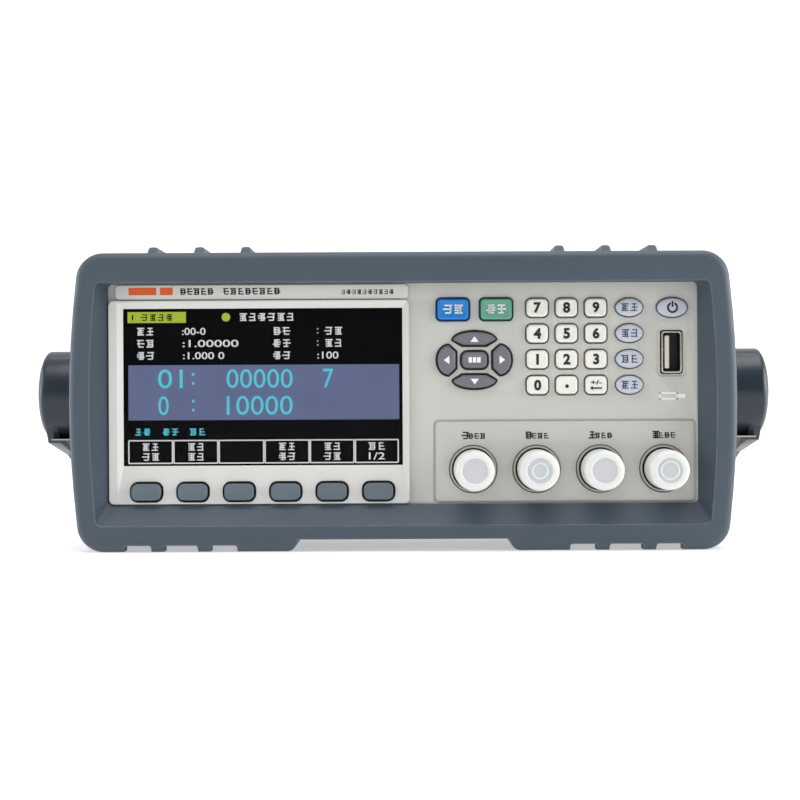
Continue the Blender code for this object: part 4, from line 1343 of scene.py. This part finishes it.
def makeInside():
    low, high = boxOf("main_board")
    board = roundedBlock("boardFlat", low, high, 0.6)
    done(board, "board", "case", "circuit_board", "main_board")
    top = high.z - 0.1
    chips = [addBlock("chip", (x - wide / 2, y - deep / 2, top), (x + wide / 2, y + deep / 2, high.z + tall))
             for x, y, wide, deep, tall in inside["chips"]]
    done(joinPieces("boardChips", chips), "black", "case", "black_plastic")
    cans = []
    for x, y, radius, tall in inside["cans"]:
        can = addRound("can", (x, y, high.z + tall / 2), (0, 0, 1), radius, tall, 32)
        softenFace(can, 2, high.z + tall, 0.8, 3)
        cans.append(can)
    done(joinPieces("boardCapacitors", cans), "steel", "case", "core_steel", angle=35)
    starts = [inside["relayFrom"] + step * inside["relayPitch"] for step in range(inside["relays"])]
    relays = [addBlock("relay", (x, -92, top), (x + 8, -84, high.z + 7)) for x in starts]
    done(joinPieces("boardRelays", relays), "numberKey", "case", "black_plastic")
    low, high = boxOf("transformer")
    middle = (low + high) / 2
    half, wide, (foot, head) = inside["coreHalf"], inside["windingHalf"], inside["windingHeight"]
    core = roundedBlock("transformerCore", (low.x, middle.y - half, low.z),
                        (high.x, middle.y + half, high.z), 1.5)
    softenAll(core, 0.5)
    done(core, "steel", "case", "core_steel", "transformer", angle=30)
    winding = roundedBlock("transformerWinding", (middle.x - wide, low.y, foot),
                           (middle.x + wide, high.y, head), 5.0)
    softenAll(winding, 0.8, 3)
    done(winding, "inkOrange", "case", "core_steel", angle=30)
    paint(nodes["key_board"], "board")
    paint(nodes["display_module"], "black")
    print("inside made")


makeInside()


# camera, light and floor

view = {"distance": 590.0, "x": 1.0, "z": 55.0, "lens": 76.5, "shiftX": -0.0075, "shiftY": -0.0118,
        "roll": 0.28}
stage = {"size": 8, "edge": 3.9, "height": 5, "curve": 2.5, "tone": 0.7, "glow": 0.45, "sky": 0.3}


def addCamera():
    camera = bpy.data.objects.new("camera", bpy.data.cameras.new("camera"))
    bpy.context.scene.collection.objects.link(camera)
    low, _ = boxOf("front_panel")
    camera.location = Vector((view["x"], low.y - view["distance"], view["z"])) * mm
    camera.rotation_euler = (math.radians(90), math.radians(view["roll"]), 0)
    camera.data.lens = view["lens"]
    camera.data.sensor_width = 36
    camera.data.shift_x = view["shiftX"]
    camera.data.shift_y = view["shiftY"]
    camera.data.clip_start = 0.01
    bpy.context.scene.camera = camera


def addLamp(name, place, target, size, power):
    lamp = bpy.data.objects.new(name, bpy.data.lights.new(name, "AREA"))
    bpy.context.scene.collection.objects.link(lamp)
    lamp.location = place
    lamp.rotation_euler = (Vector(target) - Vector(place)).to_track_quat("-Z", "Y").to_euler()
    lamp.data.shape = "RECTANGLE"
    lamp.data.size, lamp.data.size_y = size
    lamp.data.energy = power


# a pale floor that curves up into a backdrop; its lengths are metres
def addStage():
    edge = stage["edge"]
    clearSelection()
    bpy.ops.mesh.primitive_plane_add(size=stage["size"], location=(0, 0, 0))
    floor = bpy.context.object
    floor.name = "floor"
    pickEdges(floor, lambda first, second: first.y > edge and second.y > edge)
    bpy.ops.mesh.extrude_region_move(TRANSFORM_OT_translate={"value": (0, 0, stage["height"])})
    leaveEdit()
    pickEdges(floor, lambda first, second: min(first.y, second.y) > edge and max(first.z, second.z) < 0.1)
    bevelPicked(stage["curve"] / mm, 24)
    smooth(floor, 60)
    material, _, shader = openMaterial("paleFloor")
    shader.inputs["Base Color"].default_value = (*[stage["tone"]] * 3, 1)
    shader.inputs["Roughness"].default_value = 0.7
    shader.inputs["Emission Color"].default_value = (1, 1, 1, 1)
    shader.inputs["Emission Strength"].default_value = stage["glow"]
    floor.data.materials.append(material)


def addSurroundings():
    world = bpy.data.worlds.new("studio")
    world.use_nodes = True
    world.node_tree.nodes["Background"].inputs["Color"].default_value = (1, 1, 1, 1)
    world.node_tree.nodes["Background"].inputs["Strength"].default_value = stage["sky"]
    bpy.context.scene.world = world
    bpy.context.scene.view_settings.view_transform = "Standard"
    bpy.context.scene.view_settings.look = "None"


addCamera()
addLamp("keyLamp", (-1.3, -0.65, 0.6), (0, -0.15, 0.05), (0.9, 0.9), 6)
addLamp("fillLamp", (1.4, -0.55, 0.5), (0, -0.15, 0.05), (0.9, 0.9), 13)
addLamp("topLamp", (0.1, -0.3, 1.3), (0, -0.1, 0), (1.6, 0.7), 12)
addLamp("leftRim", (-1.3, 0.3, 0.3), (0, -0.1, 0.05), (0.3, 0.7), 5)
addLamp("rightRim", (1.3, 0.3, 0.3), (0, -0.1, 0.05), (0.3, 0.7), 5)
addLamp("backLamp", (0, 1.0, 2.2), (0, 3.4, 0.4), (3.0, 0.8), 60)
addStage()
addSurroundings()
print("stage made")
